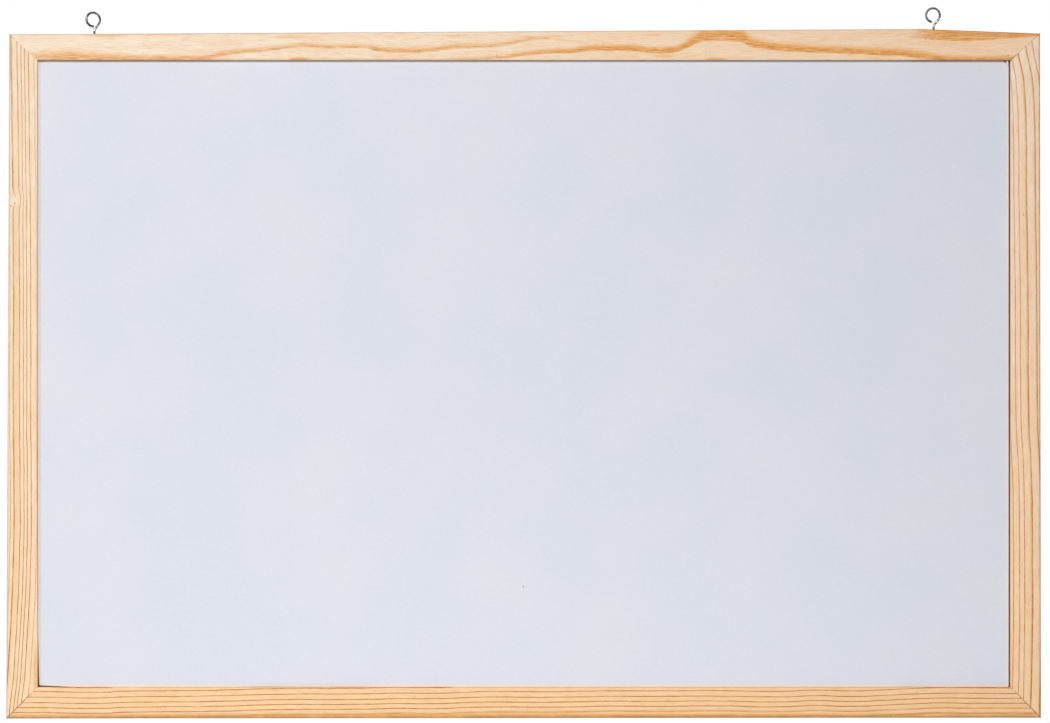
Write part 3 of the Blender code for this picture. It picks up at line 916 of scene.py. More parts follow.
def mitreShade(tree, point, rail):
    # darker along the mitres, by its own amount at either end and between
    masks = []
    for corner in (rail["start"], rail["end"]):
        atSight, between, atOuter = pine["mitre"][corner]
        line = useGroup(
            tree, lineDistance, point=point, lineStart=tuple(sightCorner[corner]),
            lineEnd=tuple(outerCorner[corner]))
        inner = remap(tree, line["Share"], 0.05, 0.28, atSight, between, smooth=True)
        nearOuter = remap(tree, line["Share"], 0.72, 0.95, smooth=True)
        strength = mixNumber(tree, nearOuter, inner, atOuter)
        masks.append(useGroup(
            tree, grime, distance=line["Distance"], width=pine["mitreWidth"], strength=strength,
            point=point, patchSize=pine["mitrePatch"])["Mask"])
    return gatherMasks(tree, masks)


def fleckMask(tree, point, flecks):
    # small dark flecks: place sideways and up, half size, strength
    masks = []
    for x, z, size, strength in flecks:
        reach = calc(tree, "DIVIDE", faceDistance(tree, point, x, z), size * mm)
        masks.append(remap(tree, reach, 0.3, 1.0, strength, 0.0, smooth=True))
    return gatherMasks(tree, masks)


def woodShader(name, rail, tree, shader, place, texture, halo, core, pale, warm, flecks):
    point, along, across, depth = place
    cloud = remap(tree, texture["Cloud"], 0.3, 0.7, 0.0, pine["mostCloud"])
    colour = mixColour(tree, cloud, pale, warm)
    pinkish = calc(tree, "MULTIPLY", texture["Pink Streak"], rail["pinkShare"])
    colour = mixColour(tree, pinkish, colour, pine["pink"])
    warmFibre = remap(tree, texture["Fibre"], 0.50, 0.68, 0.0, pine["mostWarmFibre"], smooth=True)
    colour = mixColour(tree, warmFibre, colour, warm)
    colour = mixColour(tree, halo, colour, warm)
    colour = mixColour(tree, core, colour, pine["line"])
    fibreShade = remap(tree, texture["Fibre"], 0.34, 0.66, *pine["fibreShade"])
    colour = shaded(tree, colour, fibreShade)
    dashes = calc(tree, "MULTIPLY", texture["Dash"], pine["dashStrength"])
    colour = mixColour(tree, dashes, colour, pine["line"])
    colour = mixColour(tree, fleckMask(tree, point, flecks), colour, pine["fleck"])
    # painted shade along each rail's outer arris
    colour = mixColour(tree, edgeShade(tree, point, rail, name), colour, pine["grimeColour"])
    colour = mixColour(tree, mitreShade(tree, point, rail), colour, pine["mitreColour"])
    feed(tree, shader.inputs["Base Color"], colour)
    rough, smooth = pine["roughness"] + pine["rougher"], pine["roughness"] - pine["smoother"]
    feed(tree, shader.inputs["Roughness"], remap(tree, texture["Fibre"], 0.3, 0.7, rough, smooth))
    shader.inputs["Specular IOR Level"].default_value = pine["specular"]
    height = calc(tree, "MULTIPLY_ADD", core, pine["coreHeight"], texture["Fibre"])
    addBump(tree, shader, height, pine["bumpDistance"], pine["bumpStrength"])


def pushedByKnot(tree, along, across, turned, knot):
    # the lines make way for a knot at the outer edge, and fade on its pale heart
    pushFrom, pushTo = knot["from"], knot["to"]
    offset = calc(tree, "DIVIDE", calc(tree, "SUBTRACT", along, knot["along"]), knot["reach"])
    bump = calc(tree, "EXPONENT", calc(tree, "MULTIPLY", calc(tree, "MULTIPLY", offset, offset), -1.0))
    outer = remap(tree, across, pushFrom, pushTo, smooth=True)
    push = calc(tree, "MULTIPLY", calc(tree, "MULTIPLY", bump, outer), knot["push"])
    nearHeart = remap(tree, across, pushTo - knot["heart"], pushTo - knot["heartFull"], smooth=True)
    heart = calc(tree, "MULTIPLY", bump, nearHeart)
    return calc(tree, "ADD", turned, push), calc(tree, "SUBTRACT", 1.0, heart)


def softPatch(tree, along, across, patch):
    place, middle, halfLength, halfWidth, strength = patch
    sideways = calc(tree, "DIVIDE", calc(tree, "SUBTRACT", along, place), halfLength)
    upwards = calc(tree, "DIVIDE", calc(tree, "SUBTRACT", across, middle), halfWidth)
    reach = vectorCalc(tree, "LENGTH", combine(tree, sideways, upwards, 0.0))
    return remap(tree, reach, 0.35, 1.0, strength, 0.0, smooth=True)


def straightGrainPine(name, rail, grainOf):
    # quarter-sawn rails: narrow lines nearly side by side, which bend together
    finish, tree, shader = newMaterial(name + "Pine")
    place = railCoordinates(tree, rail)
    point, along, across, depth = place
    texture = useGroup(tree, woodFibre, along=along, across=across, depth=depth, seed=rail["seed"])
    bend = drawnCurve(tree, along, grainOf["bend"], *pine["bendLimits"])
    turned = calc(tree, "MULTIPLY_ADD", depth, grainOf["depthSlope"], across)
    turned = calc(tree, "SUBTRACT", turned, bend)
    turned = calc(tree, "MULTIPLY_ADD", texture["Wander"], pine["lineWander"], turned)
    fray = calc(tree, "SUBTRACT", texture["Fibre"], 0.5)
    turned = calc(tree, "MULTIPLY_ADD", fray, pine["lineFray"], turned)
    clear = 1.0
    if grainOf["knot"]:
        turned, clear = pushedByKnot(tree, along, across, turned, grainOf["knot"])
    halos, cores = [], []
    for where, soft, coreWidth, warmth, darkness in grainOf["lines"]:
        line = useGroup(
            tree, grainLine, across=turned, along=along, place=where, softSide=soft, coreWidth=coreWidth,
            warmth=warmth, darkness=darkness)
        halos.append(line["Halo"])
        cores.append(line["Core"])
    halos += [softPatch(tree, along, across, patch) for patch in grainOf["patches"]]
    deepen = drawnCurve(tree, along, grainOf["deepen"], *pine["deepenLimits"])
    deepened = calc(tree, "MULTIPLY", gatherMasks(tree, cores), deepen)
    core = calc(tree, "MULTIPLY", calc(tree, "MINIMUM", deepened, 1.0), clear)
    halo = calc(tree, "MULTIPLY", gatherMasks(tree, halos), clear)
    firstAlong, lastAlong = grainOf["bend"][0][0], grainOf["bend"][-1][0]
    towardEnd = remap(tree, along, firstAlong, lastAlong)
    body = mixColour(tree, towardEnd, grainOf["paleStart"], grainOf["paleEnd"])
    woodShader(
        name, rail, tree, shader, place, texture, halo, core, body,
        grainOf["warm"], grainOf["flecks"])
    return finish


topGrain = {
    "paleLeft": (1.0, 0.90, 0.735, 1.0), "paleRight": (0.975, 0.735, 0.52, 1.0),
    "warm": (0.90, 0.425, 0.105, 1.0),
    "depthSlope": 0.8,
    # each band: its limits and strength as (place along, millimetres out from the sight edge or share)
    "bands": [
        {
            "lower": [
                (-450, -3.0), (-415, -2.5), (-370, -3.0), (-326, -3.0), (-282, -2.4), (-263, 2.0),
                (-247, 5.0), (-230, 6.5), (-211, 8.8), (-192, 10.2), (-169, 9.4), (-143, 9.8),
                (-125, 6.0), (-108, 5.4), (-82, 6.2), (-64, 8.6), (-38, 10.0), (-21, 10.6), (-8, 13.2),
                (5, 15.8), (34, 19.0), (66, 22.0),
            ],
            "peak": [
                (-450, 2.0), (-417, 2.9), (-397, 4.2), (-378, 2.9), (-340, 2.5), (-300, 2.4), (-282, 2.2),
                (-263, 6.0), (-244, 7.4), (-225, 8.4), (-206, 10.6), (-186, 12.2), (-167, 11.0),
                (-148, 11.6), (-129, 9.8), (-110, 8.2), (-90, 8.2), (-71, 9.9), (-52, 11.6), (-33, 12.2),
                (-14, 14.8), (5, 18.0), (34, 21.0), (66, 23.0),
            ],
            "upper": [
                (-450, 8.5), (-415, 11.5), (-396, 12.0), (-370, 9.0), (-326, 6.5), (-282, 6.5),
                (-263, 9.6), (-247, 11.6), (-230, 13.4), (-211, 15.2), (-192, 17.2), (-169, 15.0),
                (-143, 15.6), (-125, 14.0), (-108, 12.6), (-82, 12.8), (-64, 15.4), (-38, 17.0),
                (-21, 17.6), (-8, 19.8), (5, 21.4), (34, 23.2), (66, 25.0),
            ],
            "strength": [
                (-450, 0.35), (-417, 0.65), (-397, 0.75), (-340, 0.75), (-282, 0.75), (-244, 0.65),
                (-206, 0.6), (-167, 0.62), (-129, 0.72), (-90, 0.78), (-52, 0.65), (-14, 0.55), (5, 0.6),
                (25, 0.3), (66, 0.0),
            ],
        },
        {
            "lower": [
                (-77, -1.5), (-47, -1.0), (-24, 0.0), (-12, 0.8), (-3, 2.2), (18, 4.0), (42, 4.2),
                (53, 5.8), (66, 6.2), (96, 5.8), (110, 4.0), (128, 4.4), (136, 6.4), (145, 9.5),
                (159, 14.0), (189, 13.5), (197, 9.5), (210, 7.6), (232, 5.6), (260, 4.4), (293, 2.8),
                (328, 1.8), (345, -0.5), (363, -2.0), (380, -3.0), (450, -3.0),
            ],
            "peak": [
                (-77, 0.6), (-47, 1.2), (-33, 2.0), (-14, 3.8), (5, 6.2), (25, 8.0), (44, 9.2),
                (63, 11.2), (82, 11.6), (101, 10.6), (120, 9.0), (130, 9.4), (140, 12.5), (150, 18.0),
                (159, 21.5), (178, 22.0), (190, 20.0), (197, 15.5), (216, 12.4), (236, 10.6), (255, 9.8),
                (274, 9.4), (293, 8.0), (312, 7.2), (331, 6.0), (351, 3.6), (370, 1.9), (389, 1.6),
                (450, 1.4),
            ],
            "upper": [
                (-77, 2.6), (-47, 4.3), (-24, 4.8), (-12, 7.0), (-3, 8.8), (18, 11.2), (42, 12.4),
                (53, 14.2), (66, 14.8), (96, 14.8), (110, 13.2), (128, 13.6), (136, 16.0), (145, 24.0),
                (151, 29.0), (159, 34.0), (189, 34.0), (194, 27.0), (202, 22.0), (210, 20.0), (232, 16.8),
                (255, 15.2), (293, 13.4), (328, 12.4), (345, 10.0), (363, 7.0), (380, 5.6), (450, 6.0),
            ],
            "strength": [
                (-77, 0.3), (-52, 0.4), (-33, 0.6), (-14, 0.7), (25, 0.85), (63, 1.0), (101, 1.05),
                (331, 1.05), (370, 0.95), (450, 0.95),
            ],
        },
        {
            "lower": [
                (310, 21.6), (332, 19.2), (345, 17.8), (363, 16.4), (380, 15.4), (398, 16.0), (415, 17.4),
                (433, 18.8), (455, 20.8),
            ],
            "peak": [(310, 24.0), (345, 20.0), (370, 18.6), (398, 18.8), (420, 20.2), (455, 23.4)],
            "upper": [(310, 60.0), (455, 60.0)],
            "strength": [(310, 0.0), (331, 0.1), (345, 0.5), (355, 0.8), (370, 1.0), (455, 1.0)],
        },
        {
            "lower": [(-8, 19.6), (20, 17.2), (40, 15.0), (60, 13.8)],
            "peak": [(-8, 20.8), (20, 19.0), (40, 16.8), (60, 15.2)],
            "upper": [(-8, 22.0), (20, 20.8), (40, 18.6), (60, 16.6)],
            "strength": [(-8, 0.0), (10, 0.5), (30, 0.35), (60, 0.0)],
        },
    ],
    # short patches: place along, middle out, half length, half width, strength
    "patches": [
        (-196, 0.6, 13.0, 2.4, 0.85), (167, 0.4, 14.0, 2.2, 0.8), (-366, 21.2, 26.0, 1.5, 0.55),
        (111, 21.6, 11.0, 1.4, 0.4), (122, 3.4, 12.0, 2.6, 0.5), (-205, 20.0, 22.0, 2.2, 0.4),
        (-424, 3.0, 9.0, 3.2, 0.5), (-330, 22.0, 60.0, 1.2, 0.3), (-60, 21.0, 22.0, 1.6, 0.3),
    ],
    # a pale line through the stretch at the top edge and through the wedge at the right
    "paleLines": [(172, 19.1, 26.0, 0.5, 0.7), (395, 19.4, 42.0, 0.5, 0.65)],
    "flecks": [
        (-23.6, -8.8, 1.0, 0.45), (-23.4, -10.4, 0.9, 0.45), (421.4, -8.8, 0.9, 0.5),
        (349.6, 5.6, 0.7, 0.5), (355.4, 5.4, 0.8, 0.6), (361.8, 5.5, 0.6, 0.5), (-424.5, -8.4, 1.0, 0.3),
    ],
}


def topRailPine(name, rail, grainOf):
    # flat-sawn rail: broad orange bands that wander across the face
    finish, tree, shader = newMaterial(name + "Pine")
    place = railCoordinates(tree, rail)
    point, along, across, depth = place
    texture = useGroup(tree, woodFibre, along=along, across=across, depth=depth, seed=rail["seed"])
    turned = calc(tree, "MULTIPLY_ADD", depth, grainOf["depthSlope"], across)
    turned = calc(tree, "MULTIPLY_ADD", texture["Wander"], pine["bandWander"], turned)
    fray = calc(tree, "SUBTRACT", texture["Fibre"], 0.5)
    turned = calc(tree, "MULTIPLY_ADD", fray, pine["bandFray"], turned)
    halos, cores = [], []
    for band in grainOf["bands"]:
        found = useGroup(
            tree, grainBand, across=turned, streaks=texture["Fibre"],
            lower=drawnCurve(tree, along, band["lower"], *pine["bandLimits"]),
            peak=drawnCurve(tree, along, band["peak"], *pine["bandLimits"]),
            upper=drawnCurve(tree, along, band["upper"], *pine["bandLimits"]),
            strength=drawnCurve(tree, along, band["strength"], *pine["strengthLimits"]))
        halos.append(found["Halo"])
        cores.append(calc(tree, "MULTIPLY", found["Core"], pine["bandCore"]))
    halos += [softPatch(tree, along, turned, patch) for patch in grainOf["patches"]]
    pale = gatherMasks(tree, [softPatch(tree, along, turned, line) for line in grainOf["paleLines"]])
    keep = calc(tree, "SUBTRACT", 1.0, pale)
    halo = calc(tree, "MULTIPLY", gatherMasks(tree, halos), keep)
    core = calc(tree, "MULTIPLY", gatherMasks(tree, cores), keep)
    towardRight = remap(tree, along, sightLeft / mm, sightRight / mm)
    body = mixColour(tree, towardRight, grainOf["paleLeft"], grainOf["paleRight"])
    woodShader(
        name, rail, tree, shader, place, texture, halo, core, body,
        grainOf["warm"], grainOf["flecks"])
    return finish


railTree = makeRailTree()
railMeshes = {}
for name, rail in rails.items():
    if name == "topRail":
        finish = topRailPine(name, rail, topGrain)
    else:
        finish = straightGrainPine(name, rail, grain[name])
    railMeshes[name] = buildRail(name, rail, railTree, finish)
print("rails swept")


# corner wedges, bent steel strips driven in from the back

wedge = {
    "perCorner": 2,
    "wing": 4.5 * mm,
    "thickness": 0.6 * mm,
    "edge": 0.2 * mm,
    "length": 10.0 * mm,
    "sunk": 0.5 * mm,
    "fromSight": 13.0 * mm,
    "spacing": 6.5 * mm,
    "slitSpare": 0.12 * mm,
    "slitDepth": 1.6 * mm,
    "steel": (0.33, 0.34, 0.35, 1.0),
    "rust": (0.16, 0.13, 0.11, 1.0),
    "spotScale": 900.0,
    "bumpScale": 2500.0,
    "roughness": (0.32, 0.6),
    "bumpDistance": 0.03 * mm,
}


def makeWedgeTree():
    # a strip bent square at its middle, sharpened at its far end, at each point that it is given
    tree, given, out = newGroup(
        "wedgeAtEachPoint", "GeometryNodeTree",
        [("Geometry", "Geometry", None), ("Wing", "Float", 0.0), ("Thickness", "Float", 0.0),
         ("Edge", "Float", 0.0), ("Length", "Float", 0.0), ("Material", "Material", None)],
        [("Geometry", "Geometry")],
    )
    index = addNode(tree, "GeometryNodeInputIndex").outputs[0]
    line = addNode(tree, "GeometryNodeMeshLine", mode="OFFSET")
    line.inputs["Count"].default_value = 3
    first = calc(tree, "COMPARE", index, 0.0, 0.5)
    last = calc(tree, "COMPARE", index, 2.0, 0.5)
    strip = addNode(tree, "GeometryNodeSetPosition")
    feed(tree, strip.inputs["Geometry"], line.outputs[0])
    oneWing = calc(tree, "MULTIPLY", first, given["Wing"])
    otherWing = calc(tree, "MULTIPLY", last, given["Wing"])
    feed(tree, strip.inputs["Position"], combine(tree, oneWing, otherWing, 0.0))
    path = addNode(tree, "GeometryNodeMeshToCurve")
    feed(tree, path.inputs[0], strip.outputs[0])
    upright = addNode(tree, "GeometryNodeSetCurveNormal", mode="Z_UP")
    feed(tree, upright.inputs["Curve"], path.outputs[0])
    section = addNode(tree, "GeometryNodeCurvePrimitiveQuadrilateral", mode="TRAPEZOID")
    feed(tree, section.inputs["Height"], given["Length"])
    feed(tree, section.inputs["Bottom Width"], given["Thickness"])
    feed(tree, section.inputs["Top Width"], given["Edge"])
    section.inputs["Offset"].default_value = 0.0
    sweep = addNode(tree, "GeometryNodeCurveToMesh")
    feed(tree, sweep.inputs["Curve"], upright.outputs[0])
    feed(tree, sweep.inputs["Profile Curve"], section.outputs[0])
    sweep.inputs["Fill Caps"].default_value = True
    spread = addNode(tree, "GeometryNodeInstanceOnPoints")
    feed(tree, spread.inputs["Points"], given["Geometry"])
    feed(tree, spread.inputs["Instance"], sweep.outputs[0])
    turn = addNode(tree, "FunctionNodeEulerToRotation")
    feed(tree, turn.inputs[0], named(tree, "turn", "FLOAT_VECTOR"))
    feed(tree, spread.inputs["Rotation"], turn.outputs[0])
    finishTree(tree, spread.outputs[0], given["Material"], out)
    return tree


def wedgePlaces():
    # (name of the corner, apex on the mitre line, the two directions that its wings run in)
    places = []
    for corner, sight in sightCorner.items():
        across = outerCorner[corner] - sight
        wings = (Vector((-math.copysign(1, across.x), 0, 0)), Vector((0, 0, -math.copysign(1, across.z))))
        for number in range(wedge["perCorner"]):
            fromSight = wedge["fromSight"] + number * wedge["spacing"]
            places.append((corner, sight + across * (fromSight / abs(across.z)), wings))
    return places


def chevronCutter(name, apex, wings, halfThickness, reach, deep, high):
    build = bmesh.new()
    first, second = wings
    outline = [
        apex - (first + second) * halfThickness,
        apex + first * reach - second * halfThickness,
        apex + first * reach + second * halfThickness,
        apex + (first + second) * halfThickness,
        apex + second * reach + first * halfThickness,
        apex + second * reach - first * halfThickness,
    ]
    rings = [[build.verts.new((p.x, depth, p.z)) for p in outline] for depth in (deep, high)]
    build.faces.new(rings[0])
    build.faces.new(rings[1])
    for here in range(len(outline)):
        ahead = (here + 1) % len(outline)
        build.faces.new((rings[0][here], rings[0][ahead], rings[1][ahead], rings[1][here]))
    bmesh.ops.recalc_face_normals(build, faces=build.faces)
    mesh = bpy.data.meshes.new(name)
    build.to_mesh(mesh)
    build.free()
    made = bpy.data.objects.new(name, mesh)
    bpy.context.scene.collection.objects.link(made)
    return made


def cutSlits(name, rail, mesh):
    # opens the slits that the wedges were driven into, at this rail's two ends
    carrier = newCarrier(name, mesh)
    cutters = []
    for corner, apex, wings in wedgePlaces():
        if corner in (rail["start"], rail["end"]):
            half = wedge["thickness"] / 2 + wedge["slitSpare"]
            cutter = chevronCutter(
                "slitCutter", apex, wings, half, wedge["wing"] + wedge["slitSpare"],
                backFace - wedge["slitDepth"], backFace + wedge["slitDepth"])
            cut = carrier.modifiers.new("slit", "BOOLEAN")
            cut.operation = "DIFFERENCE"
            cut.solver = "EXACT"
            cut.object = cutter
            cutters.append(cutter)
    plain = plainMesh(carrier, name)
    for cutter in cutters:
        bpy.data.objects.remove(cutter)
    return plain


def wedgeSteelFinish():
    finish, tree, shader = newMaterial("wedgeSteel")
    point = objectPoint(tree)
    spots = noise(tree, point, wedge["spotScale"], 4.0, 0.6)
    colour = mixColour(tree, remap(tree, spots, 0.35, 0.7), wedge["steel"], wedge["rust"])
    feed(tree, shader.inputs["Base Color"], colour)
    shader.inputs["Metallic"].default_value = 1.0
    feed(tree, shader.inputs["Roughness"], remap(tree, spots, 0.3, 0.7, *wedge["roughness"]))
    addBump(tree, shader, noise(tree, point, wedge["bumpScale"], 2.0, 0.5), wedge["bumpDistance"])
    return finish


def buildWedges():
    places, turns = [], []
    for corner, apex, (sideways, upwards) in wedgePlaces():
        places.append((apex.x, backFace - wedge["sunk"] - wedge["length"] / 2, apex.z))
        # the strip's own X wing, Y wing and sharp end go to sideways, upwards and the front
        basis = Matrix((sideways, upwards, sideways.cross(upwards))).transposed()
        turns.append(basis.to_euler())
    points = bpy.data.meshes.new("wedgePoints")
    points.from_pydata(places, [], [])
    attribute = points.attributes.new("turn", "FLOAT_VECTOR", "POINT")
    attribute.data.foreach_set("vector", [angle for turn in turns for angle in turn])
    return runTree("cornerWedges", points, makeWedgeTree(), {
        "Wing": wedge["wing"], "Thickness": wedge["thickness"], "Edge": wedge["edge"],
        "Length": wedge["length"], "Material": wedgeSteelFinish(),
    })


for name, rail in rails.items():
    mesh = cutSlits(name, rail, railMeshes[name])
    addPiece(name, mesh, [rail["node"]])
wedgeMesh = buildWedges()
faceOutwards(wedgeMesh)
wedgeNodes = [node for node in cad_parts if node.startswith("corner_wedge")]
addPiece("cornerWedges", wedgeMesh, wedgeNodes)
print("slits cut and wedges driven")


# the writing sheet, its top right corner bent forward

hardboardLow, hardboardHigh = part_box("hardboard_back")
glueFilm = 0.3 * mm

sheet = {
    "thickness": 0.4 * mm,
    "cornerRound": 1.0 * mm,
    "roundSteps": 6,
    "edgeBevel": 0.06 * mm,
    # each corner's distance from the sight opening, sideways and up or down
    "inset": {
        "topLeft": (0.02 * mm, 0.21 * mm), "topRight": (1.20 * mm, 0.21 * mm),
        "bottomRight": (1.25 * mm, 0.03 * mm), "bottomLeft": (1.05 * mm, 1.30 * mm),
    },
    # the lower left corner is clipped: how far its cuts run along the bottom and up the side
    "clipAlong": 30.0 * mm,
    "clipUp": 46.0 * mm,
    "sideInset": 0.02 * mm,
    "earWidth": 4.0 * mm,
    "earHeight": 4.5 * mm,
    "earBend": math.radians(38),
    "bendLength": 1.0 * mm,
    "bendSteps": 6,
    "smallest": 1e-7,                 # nearer than this, two places are one
    "bevelAngle": math.radians(50),
    "sharpAngle": math.radians(12),
}


def sheetOutline():
    # clockwise from the top left corner, each corner rounded
    points = []
    steps = sheet["roundSteps"]
    for corner in ("topLeft", "topRight", "bottomRight", "bottomLeft"):
        side = 1 if "Left" in corner else -1
        level = -1 if "top" in corner else 1
        insetX, insetZ = sheet["inset"][corner]
        tip = sightCorner[corner] + Vector((side * insetX, 0, level * insetZ))
        centre = tip + Vector((side, 0, level)) * sheet["cornerRound"]
        ring = []
        for step in range(steps + 1):
            turn = math.radians(90) * step / steps
            arm = Vector((-side * math.cos(turn), 0, -level * math.sin(turn)))
            ring.append(centre + arm * sheet["cornerRound"])
        points += ring if corner in ("topLeft", "bottomRight") else ring[::-1]
        if corner == "bottomRight":
            points.append(Vector((sightLeft + sheet["clipAlong"], 0, sightBottom + sheet["sideInset"])))
    points.append(Vector((sightLeft + sheet["sideInset"], 0, sightBottom + sheet["clipUp"])))
    return points


def bentCorner():
    # the tip of the bent corner before it was bent, and the two ends of its crease
    insetX, insetZ = sheet["inset"]["topRight"]
    tip = sightCorner["topRight"] - Vector((insetX, 0, insetZ))
    creaseTop = tip - Vector((sheet["earWidth"], 0, 0))
    creaseSide = tip - Vector((0, 0, sheet["earHeight"]))
    return tip, creaseTop, creaseSide


def buildSheet(finish):
    build = bmesh.new()
    back = hardboardLow.y - glueFilm
    outline = [build.verts.new((point.x, back, point.z)) for point in sheetOutline()]
    build.faces.new(outline)

    # cut the corner into strips that run with the crease, then roll them forward
    tip, creaseTop, creaseSide = bentCorner()
    crease = (creaseSide - creaseTop).normalized()
    beyond = Vector((-crease.z, 0, crease.x))
    if beyond.dot(tip - creaseTop) < 0:
        beyond = -beyond
    start = Vector((creaseTop.x, back, creaseTop.z))
    shifts = [-sheet["bendLength"]] + [
        sheet["bendLength"] * step / sheet["bendSteps"] for step in range(sheet["bendSteps"] + 1)]
    for shift in shifts:
        bmesh.ops.bisect_plane(
            build, geom=build.verts[:] + build.edges[:] + build.faces[:], dist=sheet["smallest"],
            plane_co=start + beyond * shift, plane_no=beyond)
    radius = sheet["bendLength"] / sheet["earBend"]
    for vert in build.verts:
        reach = (vert.co - start).dot(beyond)
        if reach <= sheet["smallest"]:
            continue
        turn = min(reach, sheet["bendLength"]) / radius
        straight = max(0.0, reach - sheet["bendLength"])
        flatReach = radius * math.sin(turn) + straight * math.cos(turn)
        lift = radius * (1 - math.cos(turn)) + straight * math.sin(turn)
        vert.co += beyond * (flatReach - reach) + Vector((0, -lift, 0))

    bmesh.ops.recalc_face_normals(build, faces=build.faces)
    if sum((face.normal.y * face.calc_area() for face in build.faces)) < 0:
        bmesh.ops.reverse_faces(build, faces=build.faces)
    mesh = bpy.data.meshes.new("writingSheet")
    build.to_mesh(mesh)
    build.free()
    mesh.materials.append(finish)

    carrier = newCarrier("writingSheet", mesh)
    thick = carrier.modifiers.new("thickness", "SOLIDIFY")
    thick.thickness = sheet["thickness"]
    thick.offset = -1.0
    bevel = carrier.modifiers.new("edge", "BEVEL")
    bevel.width = sheet["edgeBevel"]
    bevel.segments = 2
    bevel.limit_method = "ANGLE"
    bevel.angle_limit = sheet["bevelAngle"]
    return plainMesh(carrier, "writingSheet")


lacquer = {
    "colour": (0.742, 0.772, 0.852, 1.0),
    "coolPatch": (0.715, 0.755, 0.850, 1.0),
    "warmPatch": (0.765, 0.777, 0.842, 1.0),
    "cloudScale": 9.0,
    "fineScale": 420.0,
    "peelScale": 700.0,
    "peelShade": (0.985, 1.012),
    # each painted rim: the corners that it runs between, its colour and width; the pale warm ones are
    # painted light thrown back from the lit wood onto the sheet's edges, the grey one along the top is the
    # painted shadow of the top rail
    "rims": [
        ("topRight", "bottomRight", (0.97, 0.76, 0.67, 1.0), 1.9 * mm),
        ("bottomLeft", "bottomRight", (0.97, 0.87, 0.80, 1.0), 2.4 * mm),
        ("topLeft", "bottomLeft", (0.96, 0.88, 0.80, 1.0), 1.5 * mm),
        ("topLeft", "topRight", (0.40, 0.43, 0.47, 1.0), 2.4 * mm),
    ],
    "speck": (0.05, 0.05, 0.055, 1.0),
    "speckPlace": (-0.3, -471.3),      # sideways and up, in millimetres
    "speckSize": 0.75,
    "speckStrength": 0.9,
    # painted shadow beside the bent corner, where it lifts off: in from its tip sideways and down, half
    # size, strength
    "chips": [(2.9, 0.9, 1.5, 1.0), (3.9, 0.3, 0.9, 1.0)],
    # a painted highlight on the bent corner's tip, given the same way
    "whiteTip": [(0.9, 0.6, 1.5, 1.0)],
    "roughness": 0.40,
    "rougher": 0.05,
    "smoother": 0.03,
    "bumpDistance": 0.02 * mm,
    "bumpStrength": 0.5,
    # colours of the painted shadow beside the bent corner, the painted shade along its crease and the
    # painted highlight on its tip
    "bareSteel": (0.07, 0.075, 0.08, 1.0),
    "creaseShade": (0.50, 0.56, 0.66, 1.0),
    "creaseStrength": 0.85,
    "tipWhite": (0.95, 0.95, 0.95, 1.0),
}


def lacquerFinish():
    # white lacquer on steel: faint clouds, fine orange peel, painted light and painted shadow along its
    # edges, and one dark speck
    finish, tree, shader = newMaterial("whiteLacquer")
    point = objectPoint(tree)
    clouds = noise(tree, point, lacquer["cloudScale"], 3.0, 0.55)
    colour = mixColour(tree, remap(tree, clouds, 0.35, 0.65), lacquer["coolPatch"], lacquer["warmPatch"])
    fine = noise(tree, point, lacquer["fineScale"], 2.0, 0.5)
    colour = mixColour(tree, remap(tree, fine, 0.3, 0.7, 0.0, 0.5), colour, lacquer["colour"])
    peel = noise(tree, point, lacquer["peelScale"], 2.0, 0.5)
    colour = shaded(tree, colour, remap(tree, peel, 0.3, 0.7, *lacquer["peelShade"]))

    rightGap = Vector((-sheet["inset"]["topRight"][0], 0, 0))
    # painted light along the right, bottom and left edges and painted shadow along the top edge, each
    # fading over its width
    for start, end, paintedRimColour, width in lacquer["rims"]:
        # only at the right does the sheet end so far from the rail that its rim moves in with it
        shift = rightGap if start == "topRight" else Vector((0, 0, 0))
        rimStart, rimEnd = sightCorner[start] + shift, sightCorner[end] + shift
        rim = useGroup(tree, lineDistance, point=point, lineStart=tuple(rimStart), lineEnd=tuple(rimEnd))
        share = remap(tree, rim["Distance"], 0.0, width / mm, 1.0, 0.0, smooth=True)
        colour = mixColour(tree, share, colour, paintedRimColour)

    fromSpeck = faceDistance(tree, point, *lacquer["speckPlace"])
    reach = calc(tree, "DIVIDE", fromSpeck, lacquer["speckSize"] * mm)
    onSpeck = remap(tree, reach, 0.45, 1.0, lacquer["speckStrength"], 0.0)
    colour = mixColour(tree, onSpeck, colour, lacquer["speck"])

    # painted shade along the crease of the bent corner, painted shadow beside it where it lifts, and a
    # painted highlight on its tip
    tip, creaseTop, creaseSide = bentCorner()
    crease = useGroup(
        tree, lineDistance, point=point, lineStart=tuple(creaseTop), lineEnd=tuple(creaseSide))
    downCrease = remap(tree, crease["Share"], 0.1, 0.35)
    nearCrease = remap(tree, crease["Distance"], 0.3, 0.75, lacquer["creaseStrength"], 0.0)
    onCrease = calc(tree, "MULTIPLY", downCrease, nearCrease)
    colour = mixColour(tree, onCrease, colour, lacquer["creaseShade"])

    def nearTip(spots):
        return [
            (tip.x / mm - inward, tip.z / mm - down, size, strength)
            for inward, down, size, strength in spots]

    # painted shadow where the corner lifts, then a painted highlight on its tip
    chip = fleckMask(tree, point, nearTip(lacquer["chips"]))
    colour = mixColour(tree, chip, colour, lacquer["bareSteel"])
    tipHighlight = fleckMask(tree, point, nearTip(lacquer["whiteTip"]))
    colour = mixColour(tree, tipHighlight, colour, lacquer["tipWhite"])
    feed(tree, shader.inputs["Base Color"], colour)
    smooth, rough = lacquer["roughness"] - lacquer["smoother"], lacquer["roughness"] + lacquer["rougher"]
    feed(tree, shader.inputs["Roughness"], remap(tree, clouds, 0.3, 0.7, smooth, rough))
    addBump(tree, shader, peel, lacquer["bumpDistance"], lacquer["bumpStrength"])
    return finish


sheetMesh = buildSheet(lacquerFinish())
sheetMesh.shade_smooth()
sheetMesh.set_sharp_from_angle(angle=sheet["sharpAngle"])
addPiece("writingSheet", sheetMesh, ["writing_sheet"])
print("sheet cut and its corner bent")


# the hardboard keeps its solid and gets its finish: smooth in front, a pressed wire screen at the back

